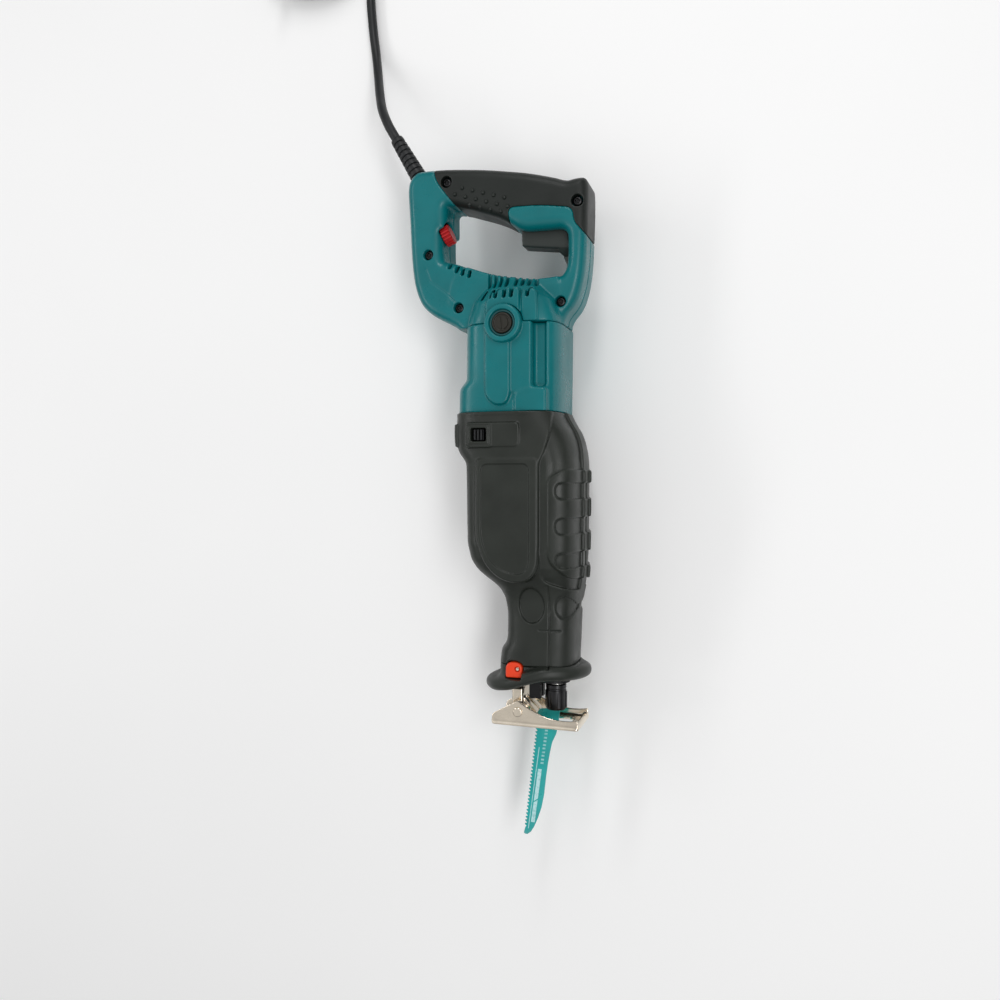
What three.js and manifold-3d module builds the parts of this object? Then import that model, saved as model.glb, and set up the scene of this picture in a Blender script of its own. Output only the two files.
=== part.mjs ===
// A corded reciprocating saw with a D-handle, lying on its left side.
// Millimetres. +X runs forward along the blade, +Y is the saw's top in use,
// +Z is up, out of its right side.
// The shapes are drawn with X = 0 at the rear of the handle and Z = 0 on the saw's mid-plane, and the
// finished group is then moved so that its origin is the bottom centre of the saw without its cord.
import * as THREE from 'three';
import { mergeVertices } from 'three/addons/utils/BufferGeometryUtils.js';
import Module from 'manifold-3d';

const wasm = await Module();
wasm.setup();

// ---- Driving dimensions -------------------------------------------------------------------------
const GAP = 0.3; // between pieces that touch
const SIDE = 48.5; // half width over the boot and the brush bosses
const HANDLE_HALF = 22; // half width of the D-handle
const HANDLE_END = 141; // where the handle halves meet the motor housing
const BOOT_START = 213.8; // where the rubber boot meets the motor housing
const BOOT_END = 424;
const MOTOR_Y = -4; // height of the motor axis
const PLUNGER_Y = 29.6; // height of the blade's stroke axis
const RUBBER = 3; // thickness of the grip cover and of the boot
const WALL = 3; // wall of the plastic and aluminium housings
const CRANK_X = 290; // centre of the crank gear
const CRANK_THROW = 16; // half of the 32 mm stroke
const STROKE_NOW = 12; // how far the plunger stands ahead of mid stroke
const PINION_TEETH = 8;
const GEAR_TEETH = 37;
const GEAR_PITCH_R = 34;
const PINION_PITCH_R = (GEAR_PITCH_R * PINION_TEETH) / GEAR_TEETH;
const BRUSH_X = 142.6; // along the motor, where the brushes and their caps are
const SHOE_PIVOT = { x: 465.1, y: 1.5 };
const TRIGGER_PIVOT = { x: 90, y: 46 };
const TRIGGER_PULL = THREE.MathUtils.degToRad(7);
const DIAL = { x: 57.5, y: -65.4, z: 9, r: 10, thick: 7.5, tilt: THREE.MathUtils.degToRad(22) };
const LOCK = { x: 50, y: 20 };
const SELECTOR = { x0: 227.3, x1: 238, y0: -30.3, y1: -17.1 };
const CORD_R = 4.25;
const COIL = { x: -264, y: -222, turn: 48, layer: 8.5 };

// ---- Materials ----------------------------------------------------------------------------------
const finish = (color, roughness, metalness) =>
  new THREE.MeshStandardMaterial({ color, roughness, metalness });
const teal = finish(0x0f6f74, 0.45, 0);
const rubber = finish(0x23282a, 0.8, 0);
const blackPlastic = finish(0x1b1d1e, 0.5, 0);
const triggerGrey = finish(0x35393a, 0.55, 0);
const red = finish(0xb5302a, 0.45, 0);
const orange = finish(0xd94a22, 0.45, 0);
const blackMetal = finish(0x1a1a1b, 0.4, 0.7);
const steel = finish(0x9a9a98, 0.35, 1);
const nickel = finish(0xc8bfae, 0.25, 1);
const aluminium = finish(0xa8abad, 0.45, 1);
const copper = finish(0xa8623a, 0.4, 1);
const laminations = finish(0x5d6063, 0.5, 0.9);
const carbon = finish(0x202020, 0.7, 0.2);
const bladePaint = finish(0x008a90, 0.4, 0.3);

// ---- Shape helpers ------------------------------------------------------------------------------
const place = (geometry, x, y, z) => geometry.translate(x, y, z);

// A closed geometry as a manifold-3d solid.
function solid(geometry) {
  const bare = geometry.index ? geometry.toNonIndexed() : geometry.clone();
  bare.deleteAttribute('normal');
  bare.deleteAttribute('uv');
  const merged = mergeVertices(bare, 1e-4);
  return new wasm.Manifold(
    new wasm.Mesh({
      numProp: 3,
      vertProperties: merged.attributes.position.array,
      triVerts: new Uint32Array(merged.index.array),
    }),
  );
}

const join = (first, ...others) => others.reduce((sum, other) => sum.add(other), first);
const cut = (first, ...others) => others.reduce((rest, other) => rest.subtract(other), first);

function geometryOf(made) {
  const mesh = made.getMesh();
  const geometry = new THREE.BufferGeometry();
  geometry.setAttribute('position', new THREE.BufferAttribute(mesh.vertProperties.slice(), 3));
  geometry.setIndex(new THREE.BufferAttribute(mesh.triVerts.slice(), 1));
  return geometry;
}

// Corners given as [x, y, radius] become a closed outline whose corners are rounded.
function outline(corners, steps = 3) {
  const points = [];
  corners.forEach(([x, y, radius = 0], i) => {
    const here = new THREE.Vector2(x, y);
    const before = new THREE.Vector2(...corners.at(i - 1));
    const after = new THREE.Vector2(...corners[(i + 1) % corners.length]);
    const inLength = Math.min(radius, here.distanceTo(before) * 0.42);
    const outLength = Math.min(radius, here.distanceTo(after) * 0.42);
    const start = here.clone().add(before.sub(here).setLength(inLength));
    const end = here.clone().add(after.sub(here).setLength(outLength));
    if (radius > 0) points.push(...new THREE.QuadraticBezierCurve(start, here, end).getPoints(steps));
    else points.push(here);
  });
  return points;
}

// Moves a counter-clockwise outline inwards by a distance, or outwards if it is negative.
function inset(points, distance) {
  const inward = (from, to) => new THREE.Vector2(from.y - to.y, to.x - from.x).normalize();
  return points.map((point, i) => {
    const before = inward(points.at(i - 1), point);
    const after = inward(point, points[(i + 1) % points.length]);
    const share = distance / (1 + before.dot(after));
    return point.clone().addScaledVector(before.add(after), share);
  });
}

// An outline in X and Y extruded in Z, with an optional chamfered edge and holes.
function plate(points, z0, z1, bevel = 0, holes = []) {
  const shape = new THREE.Shape(points);
  shape.holes = holes.map((hole) => new THREE.Path(hole));
  const geometry = new THREE.ExtrudeGeometry(shape, {
    depth: z1 - z0 - 2 * bevel,
    bevelEnabled: bevel > 0,
    bevelThickness: bevel,
    bevelSize: bevel,
    bevelOffset: -bevel,
    bevelSegments: 2,
    steps: 1,
  });
  return place(geometry, 0, 0, z0 + bevel);
}

// An outline in X and Z extruded in Y.
const plateAcross = (points, y0, y1) => plate(points, -y1, -y0).rotateX(Math.PI / 2);

// The solid between one counter-clockwise outline low down and another one above it.
function between(lower, upper, z0, z1) {
  const positions = [];
  const triangle = (...corners) => corners.forEach(([point, z]) => positions.push(point.x, point.y, z));
  lower.forEach((_, i) => {
    const j = (i + 1) % lower.length;
    triangle([lower[i], z0], [lower[j], z0], [upper[i], z1]);
    triangle([lower[j], z0], [upper[j], z1], [upper[i], z1]);
  });
  for (const [a, b, c] of THREE.ShapeUtils.triangulateShape(lower, []))
    triangle([lower[c], z0], [lower[b], z0], [lower[a], z0]);
  for (const [a, b, c] of THREE.ShapeUtils.triangulateShape(upper, []))
    triangle([upper[a], z1], [upper[b], z1], [upper[c], z1]);
  const geometry = new THREE.BufferGeometry();
  return geometry.setAttribute('position', new THREE.Float32BufferAttribute(positions, 3));
}

// Superellipse sections along X, joined in a skin with flat ends. A section is {x, y0, y1, w, n}.
function loft(sections, sides = 28) {
  const positions = [];
  const ring = ({ x, y0, y1, w, n = 3.4 }) =>
    Array.from({ length: sides }, (_, i) => {
      const angle = (2 * Math.PI * i) / sides;
      const bend = (value) => Math.sign(value) * Math.abs(value) ** (2 / n);
      const y = (y0 + y1) / 2 + ((y1 - y0) / 2) * bend(Math.cos(angle));
      return [x, y, w * bend(Math.sin(angle))];
    });
  const triangle = (...corners) => corners.forEach((corner) => positions.push(...corner));
  const rings = sections.map(ring);
  for (let k = 0; k + 1 < rings.length; k++)
    for (let i = 0; i < sides; i++) {
      const j = (i + 1) % sides;
      triangle(rings[k][i], rings[k][j], rings[k + 1][i]);
      triangle(rings[k][j], rings[k + 1][j], rings[k + 1][i]);
    }
  const cap = (points, section, front) => {
    const middle = [section.x, (section.y0 + section.y1) / 2, 0];
    for (let i = 0; i < sides; i++) {
      const j = (i + 1) % sides;
      if (front) triangle(middle, points[i], points[j]);
      else triangle(middle, points[j], points[i]);
    }
  };
  cap(rings[0], sections[0], false);
  cap(rings.at(-1), sections.at(-1), true);
  const geometry = new THREE.BufferGeometry();
  return geometry.setAttribute('position', new THREE.Float32BufferAttribute(positions, 3));
}

const shrink = (sections, distance) =>
  sections.map((s) => ({ ...s, y0: s.y0 + distance, y1: s.y1 - distance, w: s.w - distance }));

// The same sections carried straight on past both ends.
const extended = (sections, distance) => [
  { ...sections[0], x: sections[0].x - distance },
  ...sections,
  { ...sections.at(-1), x: sections.at(-1).x + distance },
];

const SPIN = { x: [0, 0, -Math.PI / 2], y: [0, 0, 0], z: [Math.PI / 2, 0, 0] };
const turnTo = (geometry, axis) => {
  const [rx, ry, rz] = SPIN[axis];
  return geometry.rotateX(rx).rotateY(ry).rotateZ(rz);
};

// A cylinder or cone whose axis is x, y or z, from one station along it to another.
function rod(axis, from, to, radius, [a, b], sides = 16, endRadius = radius) {
  const geometry = turnTo(new THREE.CylinderGeometry(endRadius, radius, to - from, sides), axis);
  const middle = (from + to) / 2;
  const centre = { x: [middle, a, b], y: [a, middle, b], z: [a, b, middle] }[axis];
  return place(geometry, ...centre);
}

// A ring of rectangular section about an axis.
function collar(axis, from, to, inner, outer, centre, sides = 24) {
  const half = (to - from) / 2;
  const profile = [
    [inner, -half],
    [outer, -half],
    [outer, half],
    [inner, half],
    [inner, -half],
  ].map(([r, h]) => new THREE.Vector2(r, h));
  const geometry = turnTo(new THREE.LatheGeometry(profile, sides), axis);
  const middle = (from + to) / 2;
  const [a, b] = centre;
  return place(geometry, ...{ x: [middle, a, b], y: [a, middle, b], z: [a, b, middle] }[axis]);
}

const block = (x0, x1, y0, y1, z0, z1) =>
  place(new THREE.BoxGeometry(x1 - x0, y1 - y0, z1 - z0), (x0 + x1) / 2, (y0 + y1) / 2, (z0 + z1) / 2);

// ---- The scene graph ----------------------------------------------------------------------------
const saw = new THREE.Group();
const cordGroup = new THREE.Group();

function part(name, shape, material, group = saw) {
  const geometry = shape.isBufferGeometry ? shape : geometryOf(shape);
  const mesh = new THREE.Mesh(geometry, material);
  mesh.name = name;
  group.add(mesh);
  return mesh;
}

// ---- D-handle -----------------------------------------------------------------------------------
const handleOutline = outline([
  [HANDLE_END + 9, -45, 0],
  [HANDLE_END + 9, 38, 0],
  [136, 39.5, 8],
  [124, 51, 18],
  [100, 57.5, 20],
  [60, 59.2, 20],
  [23, 60, 10],
  [23.4, 43, 8],
  [8.6, -20, 24],
  [2.7, -66, 20],
  [2.5, -98, 26],
  [40, -99, 20],
  [78, -96.8, 20],
  [104, -94, 20],
  [124, -84, 26],
  [HANDLE_END, -51, 10],
], 2);
const openingOutline = outline([
  [35.5, -64, 9],
  [83, -69, 12],
  [90, -41, 14],
  [96, -24, 14],
  [101.5, 0, 14],
  [103, 22, 8],
  [101.5, 42.5, 20],
  [62.5, 42.5, 9],
  [57.5, 0, 14],
], 2);
// The swelling of the handle that holds the rear end of the motor.
const bulgeSections = [
  { x: 106, y0: -22, y1: 16, w: 24 },
  { x: 113, y0: -30, y1: 24, w: 33 },
  { x: 122, y0: -37.5, y1: 32, w: 38 },
  { x: HANDLE_END + 9, y0: -43.5, y1: 39.5, w: 40 },
];
const gripOutline = outline([
  [-10, -75, 0],
  [4.5, -75, 0],
  [15, -71.3, 6],
  [38, -54, 4],
  [46, -49, 0],
  [75, -49, 0],
  [75, -6.6, 0],
  [42.8, -6.6, 5],
  [48, 47, 6],
  [63.7, 49, 5],
  [76, 66, 0],
  [-10, 66, 0],
]);
const handleScrews = [
  [15.6, -62.3],
  [42.6, 51.5],
  [76, -79],
  [123.1, -51.1],
  [123.3, 37.9],
];

function handleBody(depth) {
  const half = HANDLE_HALF - depth;
  const round = 7 - depth;
  const side = inset(handleOutline, depth);
  const hole = inset(openingOutline, -depth);
  const outer = [
    between(inset(side, round), side, -half, round - half),
    plate(side, round - half, half - round),
    between(side, inset(side, round), half - round, half),
  ].map((g) => solid(g));
  const opening = [
    between(inset(hole, -round), hole, -half, round - half),
    plate(hole, -half, half),
    between(hole, inset(hole, -round), half - round, half),
  ].map((g) => solid(g));
  return cut(join(...outer, solid(loft(shrink(bulgeSections, depth)))), ...opening);
}

// The trigger's side view: the finger blade, and the arm back to its pivot inside the handle.
const triggerOutline = outline([
  [53, 0.8, 1],
  [72.5, 1.2, 2],
  [77, 22, 6],
  [78.5, 34, 7],
  [89.5, 39.6, 3],
  [97, 41.5, 4],
  [96, 51.5, 5],
  [86, 51.5, 5],
  [72, 42, 6],
  [53, 42, 1],
]);
const triggerPlate = (grow, half) => plate(inset(triggerOutline, -grow), -half, half);

function turnedAbout(geometry, pivot, angle) {
  return geometry.translate(-pivot.x, -pivot.y, 0).rotateZ(angle).translate(pivot.x, pivot.y, 0);
}

const triggerSweep = [0, -1].map((share) =>
  solid(turnedAbout(triggerPlate(0.8, 9.8), TRIGGER_PIVOT, share * TRIGGER_PULL)),
);

// The speed dial lies across the handle's lower column; its axis is tilted in the X-Y plane.
const onDialAxis = (geometry) => geometry.rotateZ(DIAL.tilt).translate(DIAL.x, DIAL.y, DIAL.z);
const dialSlot = join(
  solid(onDialAxis(new THREE.CylinderGeometry(DIAL.r + 1.4, DIAL.r + 1.4, DIAL.thick + 2, 28))),
  solid(onDialAxis(new THREE.BoxGeometry(16, DIAL.thick + 2, 24).translate(0, 0, 12))),
  solid(onDialAxis(new THREE.CylinderGeometry(2.8, 2.8, 18, 12).translate(0, -9, 0))),
);

const cordDirection = new THREE.Vector3(-0.857, -0.515, 0).normalize();
const guardBase = new THREE.Vector3(11, -90.5, 0);
const GUARD_LENGTH = 54;
const alongCord = (geometry) => {
  const turn = new THREE.Quaternion().setFromUnitVectors(new THREE.Vector3(0, 1, 0), cordDirection);
  return geometry.applyQuaternion(turn).translate(guardBase.x, guardBase.y, guardBase.z);
};
const guardHole = solid(alongCord(new THREE.CylinderGeometry(8.3, 8.3, 42, 20).translate(0, 9, 0)));

function handleShell() {
  const grip = solid(plate(gripOutline, -60, 60));
  const outer = join(handleBody(0).subtract(grip), handleBody(RUBBER).intersect(grip));
  const thinner = solid(plate(inset(gripOutline, -WALL - GAP), -60, 60));
  const cavity = join(handleBody(WALL).subtract(thinner), handleBody(RUBBER + WALL).intersect(thinner));
  const bosses = handleScrews.map(([x, y]) => solid(rod('z', -40, 40, 5.6, [x, y], 12)));
  const pivotBoss = solid(rod('z', -20, 20, 4.6, [TRIGGER_PIVOT.x, TRIGGER_PIVOT.y], 12));
  return cut(
    join(outer.subtract(cavity), ...bosses, pivotBoss).intersect(outer),
    ...handleScrews.map(([x, y]) => solid(rod('z', -14, 30, 2.4, [x, y], 10))),
    ...handleScrews.map(([x, y]) => solid(rod('z', 16.5, 60, 4.5, [x, y], 12))),
    solid(rod('z', -15, 15, 2.3, [TRIGGER_PIVOT.x, TRIGGER_PIVOT.y], 10)),
    ...triggerSweep,
    dialSlot,
    guardHole,
    solid(block(HANDLE_END, HANDLE_END + 20, -80, 80, -60, 60)),
    solid(rod('z', 20, 60, 16, [BRUSH_X, MOTOR_Y], 36)),
    solid(rod('z', -60, -20, 16, [BRUSH_X, MOTOR_Y], 36)),
    solid(rod('z', -40, -14, 5.4, [LOCK.x, LOCK.y])),
    ...ventCuts(),
  );
}

// Cooling slots in the swelling, two rows on each side.
function ventCuts() {
  const cuts = [];
  for (const side of [1, -1])
    for (let i = 0; i < 6; i++) {
      const y = -22 + i * 7.2;
      cuts.push(solid(block(104, 120, y, y + 3, side > 0 ? 12 : -45, side > 0 ? 45 : -12)));
    }
  return cuts;
}

function addHandle() {
  const shell = handleShell();
  const halfSpace = (z0, z1) => solid(block(-40, 200, -160, 120, z0, z1));
  part('handle_right', shell.intersect(halfSpace(GAP / 2, 80)), teal);
  part('handle_left', shell.intersect(halfSpace(-80, -GAP / 2)), teal);
  const region = solid(plate(inset(gripOutline, GAP), -60, 60));
  const cover = cut(
    handleBody(0).intersect(region),
    handleBody(RUBBER - GAP),
    ...handleScrews.map(([x, y]) => solid(rod('z', -10, 60, 4.9, [x, y], 12))),
    ...triggerSweep,
  );
  part('grip_cover', cover, rubber);
  const screw = [
    [0, 0],
    [2, 0],
    [2, 26],
    [3.9, 26],
    [3.9, 28],
    [3.2, 29],
    [0, 29],
  ].map(([r, h]) => new THREE.Vector2(r, h));
  handleScrews.forEach(([x, y], i) => {
    const geometry = new THREE.LatheGeometry(screw, 12).rotateX(Math.PI / 2);
    part(`handle_screw_${i + 1}`, geometry, blackMetal).position.set(x, y, -9);
  });
}

// ---- Trigger, switch, dial and lock button ------------------------------------------------------
function addControls() {
  const { x, y } = TRIGGER_PIVOT;
  part('trigger', cut(solid(triggerPlate(0, 9)), solid(rod('z', -20, 20, 2.4, [x, y]))), triggerGrey);
  part('trigger_pin', rod('z', -14.5, 14.5, 2, [x, y]), steel);
  part('switch_unit', block(28, 45, -2, 28, -11, 11), blackPlastic);
  part('lock_button', join(
    solid(rod('z', -25, -15.5, 4.8, [LOCK.x, LOCK.y])),
    solid(rod('z', -16, -12, 3, [LOCK.x, LOCK.y])),
  ), blackPlastic);
  const ribs = 20;
  const edge = Array.from({ length: 2 * ribs }, (_, i) => {
    const radius = DIAL.r - (i % 2 ? 0.8 : 0);
    return polar(radius, (Math.PI * i) / ribs);
  });
  const wheel = plate(edge, -DIAL.thick / 2, DIAL.thick / 2).rotateX(Math.PI / 2);
  const stem = new THREE.CylinderGeometry(2, 2, 8, 12).translate(0, -DIAL.thick / 2 - 3.9, 0);
  const dial = join(solid(wheel), solid(stem));
  part('speed_dial', onDialAxis(geometryOf(dial)), red);
  part('speed_controller', block(40, 68, -93, -78, -12, 15), blackPlastic);
  part('cord_clamp', cut(
    solid(block(22, 34, -90, -72, 6, 12)),
    solid(rod('z', -20, 20, 1.5, [28, -75])),
  ), blackPlastic);
}

function polar(radius, angle) {
  return new THREE.Vector2(radius * Math.cos(angle), radius * Math.sin(angle));
}

// ---- Motor --------------------------------------------------------------------------------------
const motorSections = [
  { x: HANDLE_END + GAP, y0: -43, y1: 39.4, w: 40 },
  { x: 190, y0: -44, y1: 39, w: 40 },
  { x: 195, y0: -50, y1: 38.8, w: 40 },
  { x: BOOT_START - GAP, y0: -50.6, y1: 38.6, w: 40 },
];
const housingScrews = [
  [-36, -29],
  [-36, 29],
  [24, -29],
  [24, 29],
];
const ridgeOutline = outline([
  [138, -20, 0],
  [200, -20, 4],
  [210, -7, 8],
  [200, 6, 4],
  [138, 6, 0],
]);

function motorHousing() {
  const outer = solid(loft(motorSections));
  const bosses = [1, -1].map((side) => {
    const from = side > 0 ? 26 : -SIDE;
    return solid(rod('z', from, from + SIDE - 26, 15.4, [BRUSH_X, MOTOR_Y], 36));
  });
  const ridges = [30, -43.5].map((z) => solid(plate(ridgeOutline, z, z + 13.5, 1)));
  const pillars = housingScrews.map(([y, z]) => solid(rod('x', 204, 213, 5, [y, z], 12)));
  const behind = solid(block(100, HANDLE_END + GAP, -80, 80, -30, 30));
  const hollow = solid(loft(extended(shrink(motorSections, WALL), 5)));
  const ridgeTail = [26, -60].map((z) => solid(block(130, HANDLE_END + GAP, -80, 80, z, z + 34)));
  const ridgesHere = ridges.map((ridge) => cut(ridge, ...ridgeTail));
  return cut(
    join(cut(join(outer, ...ridgesHere), hollow), ...bosses, ...pillars),
    behind,
    solid(rod('z', -60, 60, 9, [BRUSH_X, MOTOR_Y])),
    solid(rod('z', SIDE - 3, 60, 10.9, [BRUSH_X, MOTOR_Y], 28)),
    solid(rod('z', -60, 3 - SIDE, 10.9, [BRUSH_X, MOTOR_Y], 28)),
    ...housingScrews.map(([y, z]) => solid(rod('x', 180, 230, 2.3, [y, z], 8))),
  );
}

function addMotor() {
  part('motor_housing', motorHousing(), teal);
  part('field_stator', collar('x', 158, 203, 22, 35, [MOTOR_Y, 0], 36), laminations);
  part('armature_core', collar('x', 161, 200, 5.3, 20.8, [MOTOR_Y, 0]), laminations);
  part('commutator', collar('x', 132, 154, 5.3, 13, [MOTOR_Y, 0], 24), copper);
  part('rear_bearing', collar('x', 118, 126, 5.3, 11, [MOTOR_Y, 0]), steel);
  part('front_bearing', collar('x', 214.5, 221.5, 5.3, 13, [MOTOR_Y, 0]), steel);
  const blades = Array.from({ length: 9 }, (_, i) =>
    solid(block(205.5, 212, 12, 32, -0.8, 0.8).rotateX((2 * Math.PI * i) / 9).translate(0, MOTOR_Y, 0)),
  );
  const hub = solid(collar('x', 208.8, 210, 5.3, 32.5, [MOTOR_Y, 0]));
  const boss = solid(collar('x', 205.5, 212, 5.3, 13, [MOTOR_Y, 0]));
  part('cooling_fan', join(hub, boss, ...blades), blackPlastic);
  part('armature_shaft', armatureShaft(), steel);
  for (const [name, side] of [['right', 1], ['left', -1]]) {
    const flip = (geometry) => geometry.rotateX(Math.PI).translate(0, 2 * MOTOR_Y, 0);
    const spin = (geometry) => (side > 0 ? geometry : flip(geometry));
    const holder = cut(
      solid(rod('z', 15, 41, 8.6, [BRUSH_X, MOTOR_Y])),
      solid(block(BRUSH_X - 5.5, BRUSH_X + 5.5, MOTOR_Y - 3.5, MOTOR_Y + 3.5, 10, 50)),
    );
    part(`brush_holder_${name}`, spin(geometryOf(holder)), blackPlastic);
    const brush = block(BRUSH_X - 5, BRUSH_X + 5, MOTOR_Y - 3, MOTOR_Y + 3, 13.5, 32);
    part(`carbon_brush_${name}`, spin(brush), carbon);
    const cap = cut(
      solid(rod('z', 41.4, SIDE - 0.8, 8.4, [BRUSH_X, MOTOR_Y], 28)),
      solid(block(BRUSH_X - 6, BRUSH_X + 6, MOTOR_Y - 0.8, MOTOR_Y + 0.8, SIDE - 2.6, 60)),
    );
    part(`brush_cap_${name}`, spin(geometryOf(cap)), blackPlastic);
  }
}

// The motor shaft and the pinion cut on its front end.
function armatureShaft() {
  const tooth = { root: PINION_PITCH_R - 1.9, tip: PINION_PITCH_R + 1.1, rootHalf: 1.3, tipHalf: 0.8 };
  const teeth = Array.from({ length: PINION_TEETH }, (_, i) => {
    const corners = [
      [tooth.rootHalf, tooth.root - 1],
      [tooth.tipHalf, tooth.tip],
      [-tooth.tipHalf, tooth.tip],
      [-tooth.rootHalf, tooth.root - 1],
    ].map(([x, y]) => new THREE.Vector2(x, y));
    const bar = plate(corners, 0, 7).rotateZ((2 * Math.PI * i) / PINION_TEETH).rotateY(Math.PI / 2);
    return solid(bar.translate(252.5, MOTOR_Y, 0));
  });
  const gearBlank = solid(rod('x', 252.5, 259.5, tooth.root, [MOTOR_Y, 0]));
  return join(solid(rod('x', 116, 253, 5, [MOTOR_Y, 0])), gearBlank, ...teeth);
}

// ---- Gear housing, boot and nose ----------------------------------------------------------------
const bootSections = [
  { x: BOOT_START, y0: -51.4, y1: 40, w: 46 },
  { x: 230, y0: -51.6, y1: 48, w: 47.5 },
  { x: 244, y0: -50.3, y1: 54.2, w: SIDE + 1.8 },
  { x: 256, y0: -41.2, y1: 55.8, w: SIDE + 1.8 },
  { x: 326, y0: -40.2, y1: 55.6, w: SIDE + 1.8 },
  { x: 341, y0: -35.5, y1: 55.4, w: 45.5 },
  { x: 348.5, y0: -30, y1: 55, w: 41.5 },
  { x: 355, y0: -20.5, y1: 54.2, w: 37 },
  { x: 361, y0: -14.4, y1: 52.6, w: 34 },
  { x: 369, y0: -11, y1: 51, w: 31 },
  { x: 381, y0: -9.3, y1: 50, w: 30 },
  { x: 405, y0: -10, y1: 49.2, w: 30 },
  { x: BOOT_END, y0: -14.4, y1: 48.4, w: 30 },
];

// The same sections between two stations, shrunk by a distance.
function housingSections(from, to, distance) {
  const at = (x) => {
    const k = bootSections.findIndex((s, i) => i > 0 && s.x >= x);
    const [a, b] = [bootSections[k - 1], bootSections[k]];
    const t = (x - a.x) / (b.x - a.x);
    const mix = (key) => a[key] + (b[key] - a[key]) * t;
    return { x, y0: mix('y0'), y1: mix('y1'), w: mix('w') };
  };
  const inside = bootSections.filter((s) => s.x > from && s.x < to);
  return shrink([at(from), ...inside, at(to)], distance);
}

// A loft with both sides planed flat, where the saw lies on its side.
const flatSided = (sections, half) =>
  solid(loft(sections)).intersect(solid(block(200, 450, -80, 80, -half, half)));

const buttonOutline = outline([
  [434, -6.1, 1.5],
  [434, 8.3, 1.5],
  [421, 8.3, 6],
  [421, -6.1, 6],
]);
const buttonPlate = (grow, z0, z1, bevel = 0) => plate(inset(buttonOutline, -grow), z0, z1, bevel);
const bladeSlot = () => solid(block(425, 475, 8.4, 24, -2.5, 2.5));
const selectorWindow = (grow) =>
  solid(block(SELECTOR.x0 - grow, SELECTOR.x1 + grow, SELECTOR.y0 - grow, SELECTOR.y1 + grow, 30, 60));
const sleeveBore = (from, to, radius) =>
  join(...[PLUNGER_Y, PLUNGER_Y - 2.4].map((y) => solid(rod('x', from, to, radius, [y, 0], 28))));
const armSlot = (grow) => solid(block(380, 470, -4.4 - grow, 2.4 + grow, -9.4 - grow, 9.4 + grow));

function gearHousing() {
  const from = 222.6;
  const to = BOOT_END - 2;
  const skin = RUBBER + GAP;
  const outer = flatSided(housingSections(from, to, skin), SIDE - skin);
  const hollow = housingSections(from, to - WALL, skin + WALL);
  hollow[0].x -= 3;
  const inner = flatSided(hollow, SIDE - skin - WALL);
  const nose = solid(rod('x', to - 8, 441, 13.4, [PLUNGER_Y - 1.2, 0], 28));
  const noseFoot = solid(block(to - 8, 441, -7.6, 20, -12.6, 12.6));
  const tongue = solid(block(436, 456, 8, 17.6, -8, 8));
  const crankBoss = solid(rod('y', -37, -10, 19, [CRANK_X, 0], 28));
  const pivotBosses = [-28.5, 17].map((z) => solid(rod('z', z, z + 11.5, 6.4, [357, PLUNGER_Y])));
  const pillars = housingScrews.map(([y, z]) => solid(rod('x', from, 238, 6, [y, z], 10)));
  const webs = [-29, 29].map((z) => solid(block(from, 237, 24, 42, z - 3, z + 3)).intersect(outer));
  return cut(
    join(cut(outer, inner), nose, noseFoot, tongue, crankBoss, ...pivotBosses, ...pillars, ...webs),
    sleeveBore(407, 445, 11.4),
    solid(rod('y', -18.6, -5, 15.3, [CRANK_X, 0], 28)),
    solid(rod('y', -34, -18, 12.3, [CRANK_X, 0], 28)),
    solid(rod('z', -27, 27, 4.3, [357, PLUNGER_Y])),
    armSlot(0.6),
    selectorWindow(0.8),
    solid(buttonPlate(0.6, 10, 60)),
    bladeSlot(),
    ...housingScrews.map(([y, z]) => solid(rod('x', 200, 236, 2.3, [y, z], 8))),
  );
}

const windowPadOutline = outline([
  [223.5, -34.5, 2],
  [242.5, -34.5, 2],
  [242.5, -13, 2],
  [223.5, -13, 2],
]);

function rubberBoot() {
  const outer = flatSided(bootSections, SIDE);
  const hollow = extended(housingSections(BOOT_START, BOOT_END, RUBBER), 3);
  const inner = flatSided(hollow, SIDE - RUBBER);
  const windowPad = solid(plate(windowPadOutline, 38, 49.3, 1));
  const bottomPad = solid(block(223, 242, -53.4, -44, -10, 10));
  const button = solid(buttonPlate(0.6, 10, 60));
  return cut(join(outer, windowPad, bottomPad), inner, selectorWindow(0), button);
}

// The front guard: a waved, tilted disc that keeps the hand off the shoe.
function noseFlange() {
  const sections = [
    { x: 0, y0: -24, y1: 52, w: 33, n: 2.4 },
    { x: 4, y0: -29, y1: 57, w: 36.5, n: 2.2 },
    { x: 8, y0: -30.5, y1: 58.5, w: 38, n: 2.2 },
    { x: 12, y0: -29, y1: 57, w: 36.5, n: 2.2 },
  ];
  const neck = [
    { x: BOOT_END + GAP, y0: -14.4, y1: 48.4, w: 30 },
    { x: 436, y0: -16, y1: 48, w: 30 },
  ];
  const disc = loft(sections, 36);
  const position = disc.attributes.position;
  for (let i = 0; i < position.count; i++) {
    const y = position.getY(i) - 14;
    const z = position.getZ(i) / 38;
    position.setX(i, position.getX(i) + 429.5 - 0.2 * y + 2.5 * z * z);
  }
  return cut(
    join(solid(disc), solid(loft(neck))),
    solid(rod('x', 415, 441.6, 13.8, [PLUNGER_Y - 1.2, 0], 28)),
    solid(block(415, 441.6, -8, 20.4, -13, 13)),
    sleeveBore(430, 470, 11.4),
    solid(block(436, 470, 6, 24, -8.4, 8.4)),
    armSlot(0.6),
    solid(buttonPlate(0.6, 10, 60)),
    bladeSlot(),
    solid(block(400, BOOT_END + GAP, -60, 80, -60, 60)),
  );
}

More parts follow.
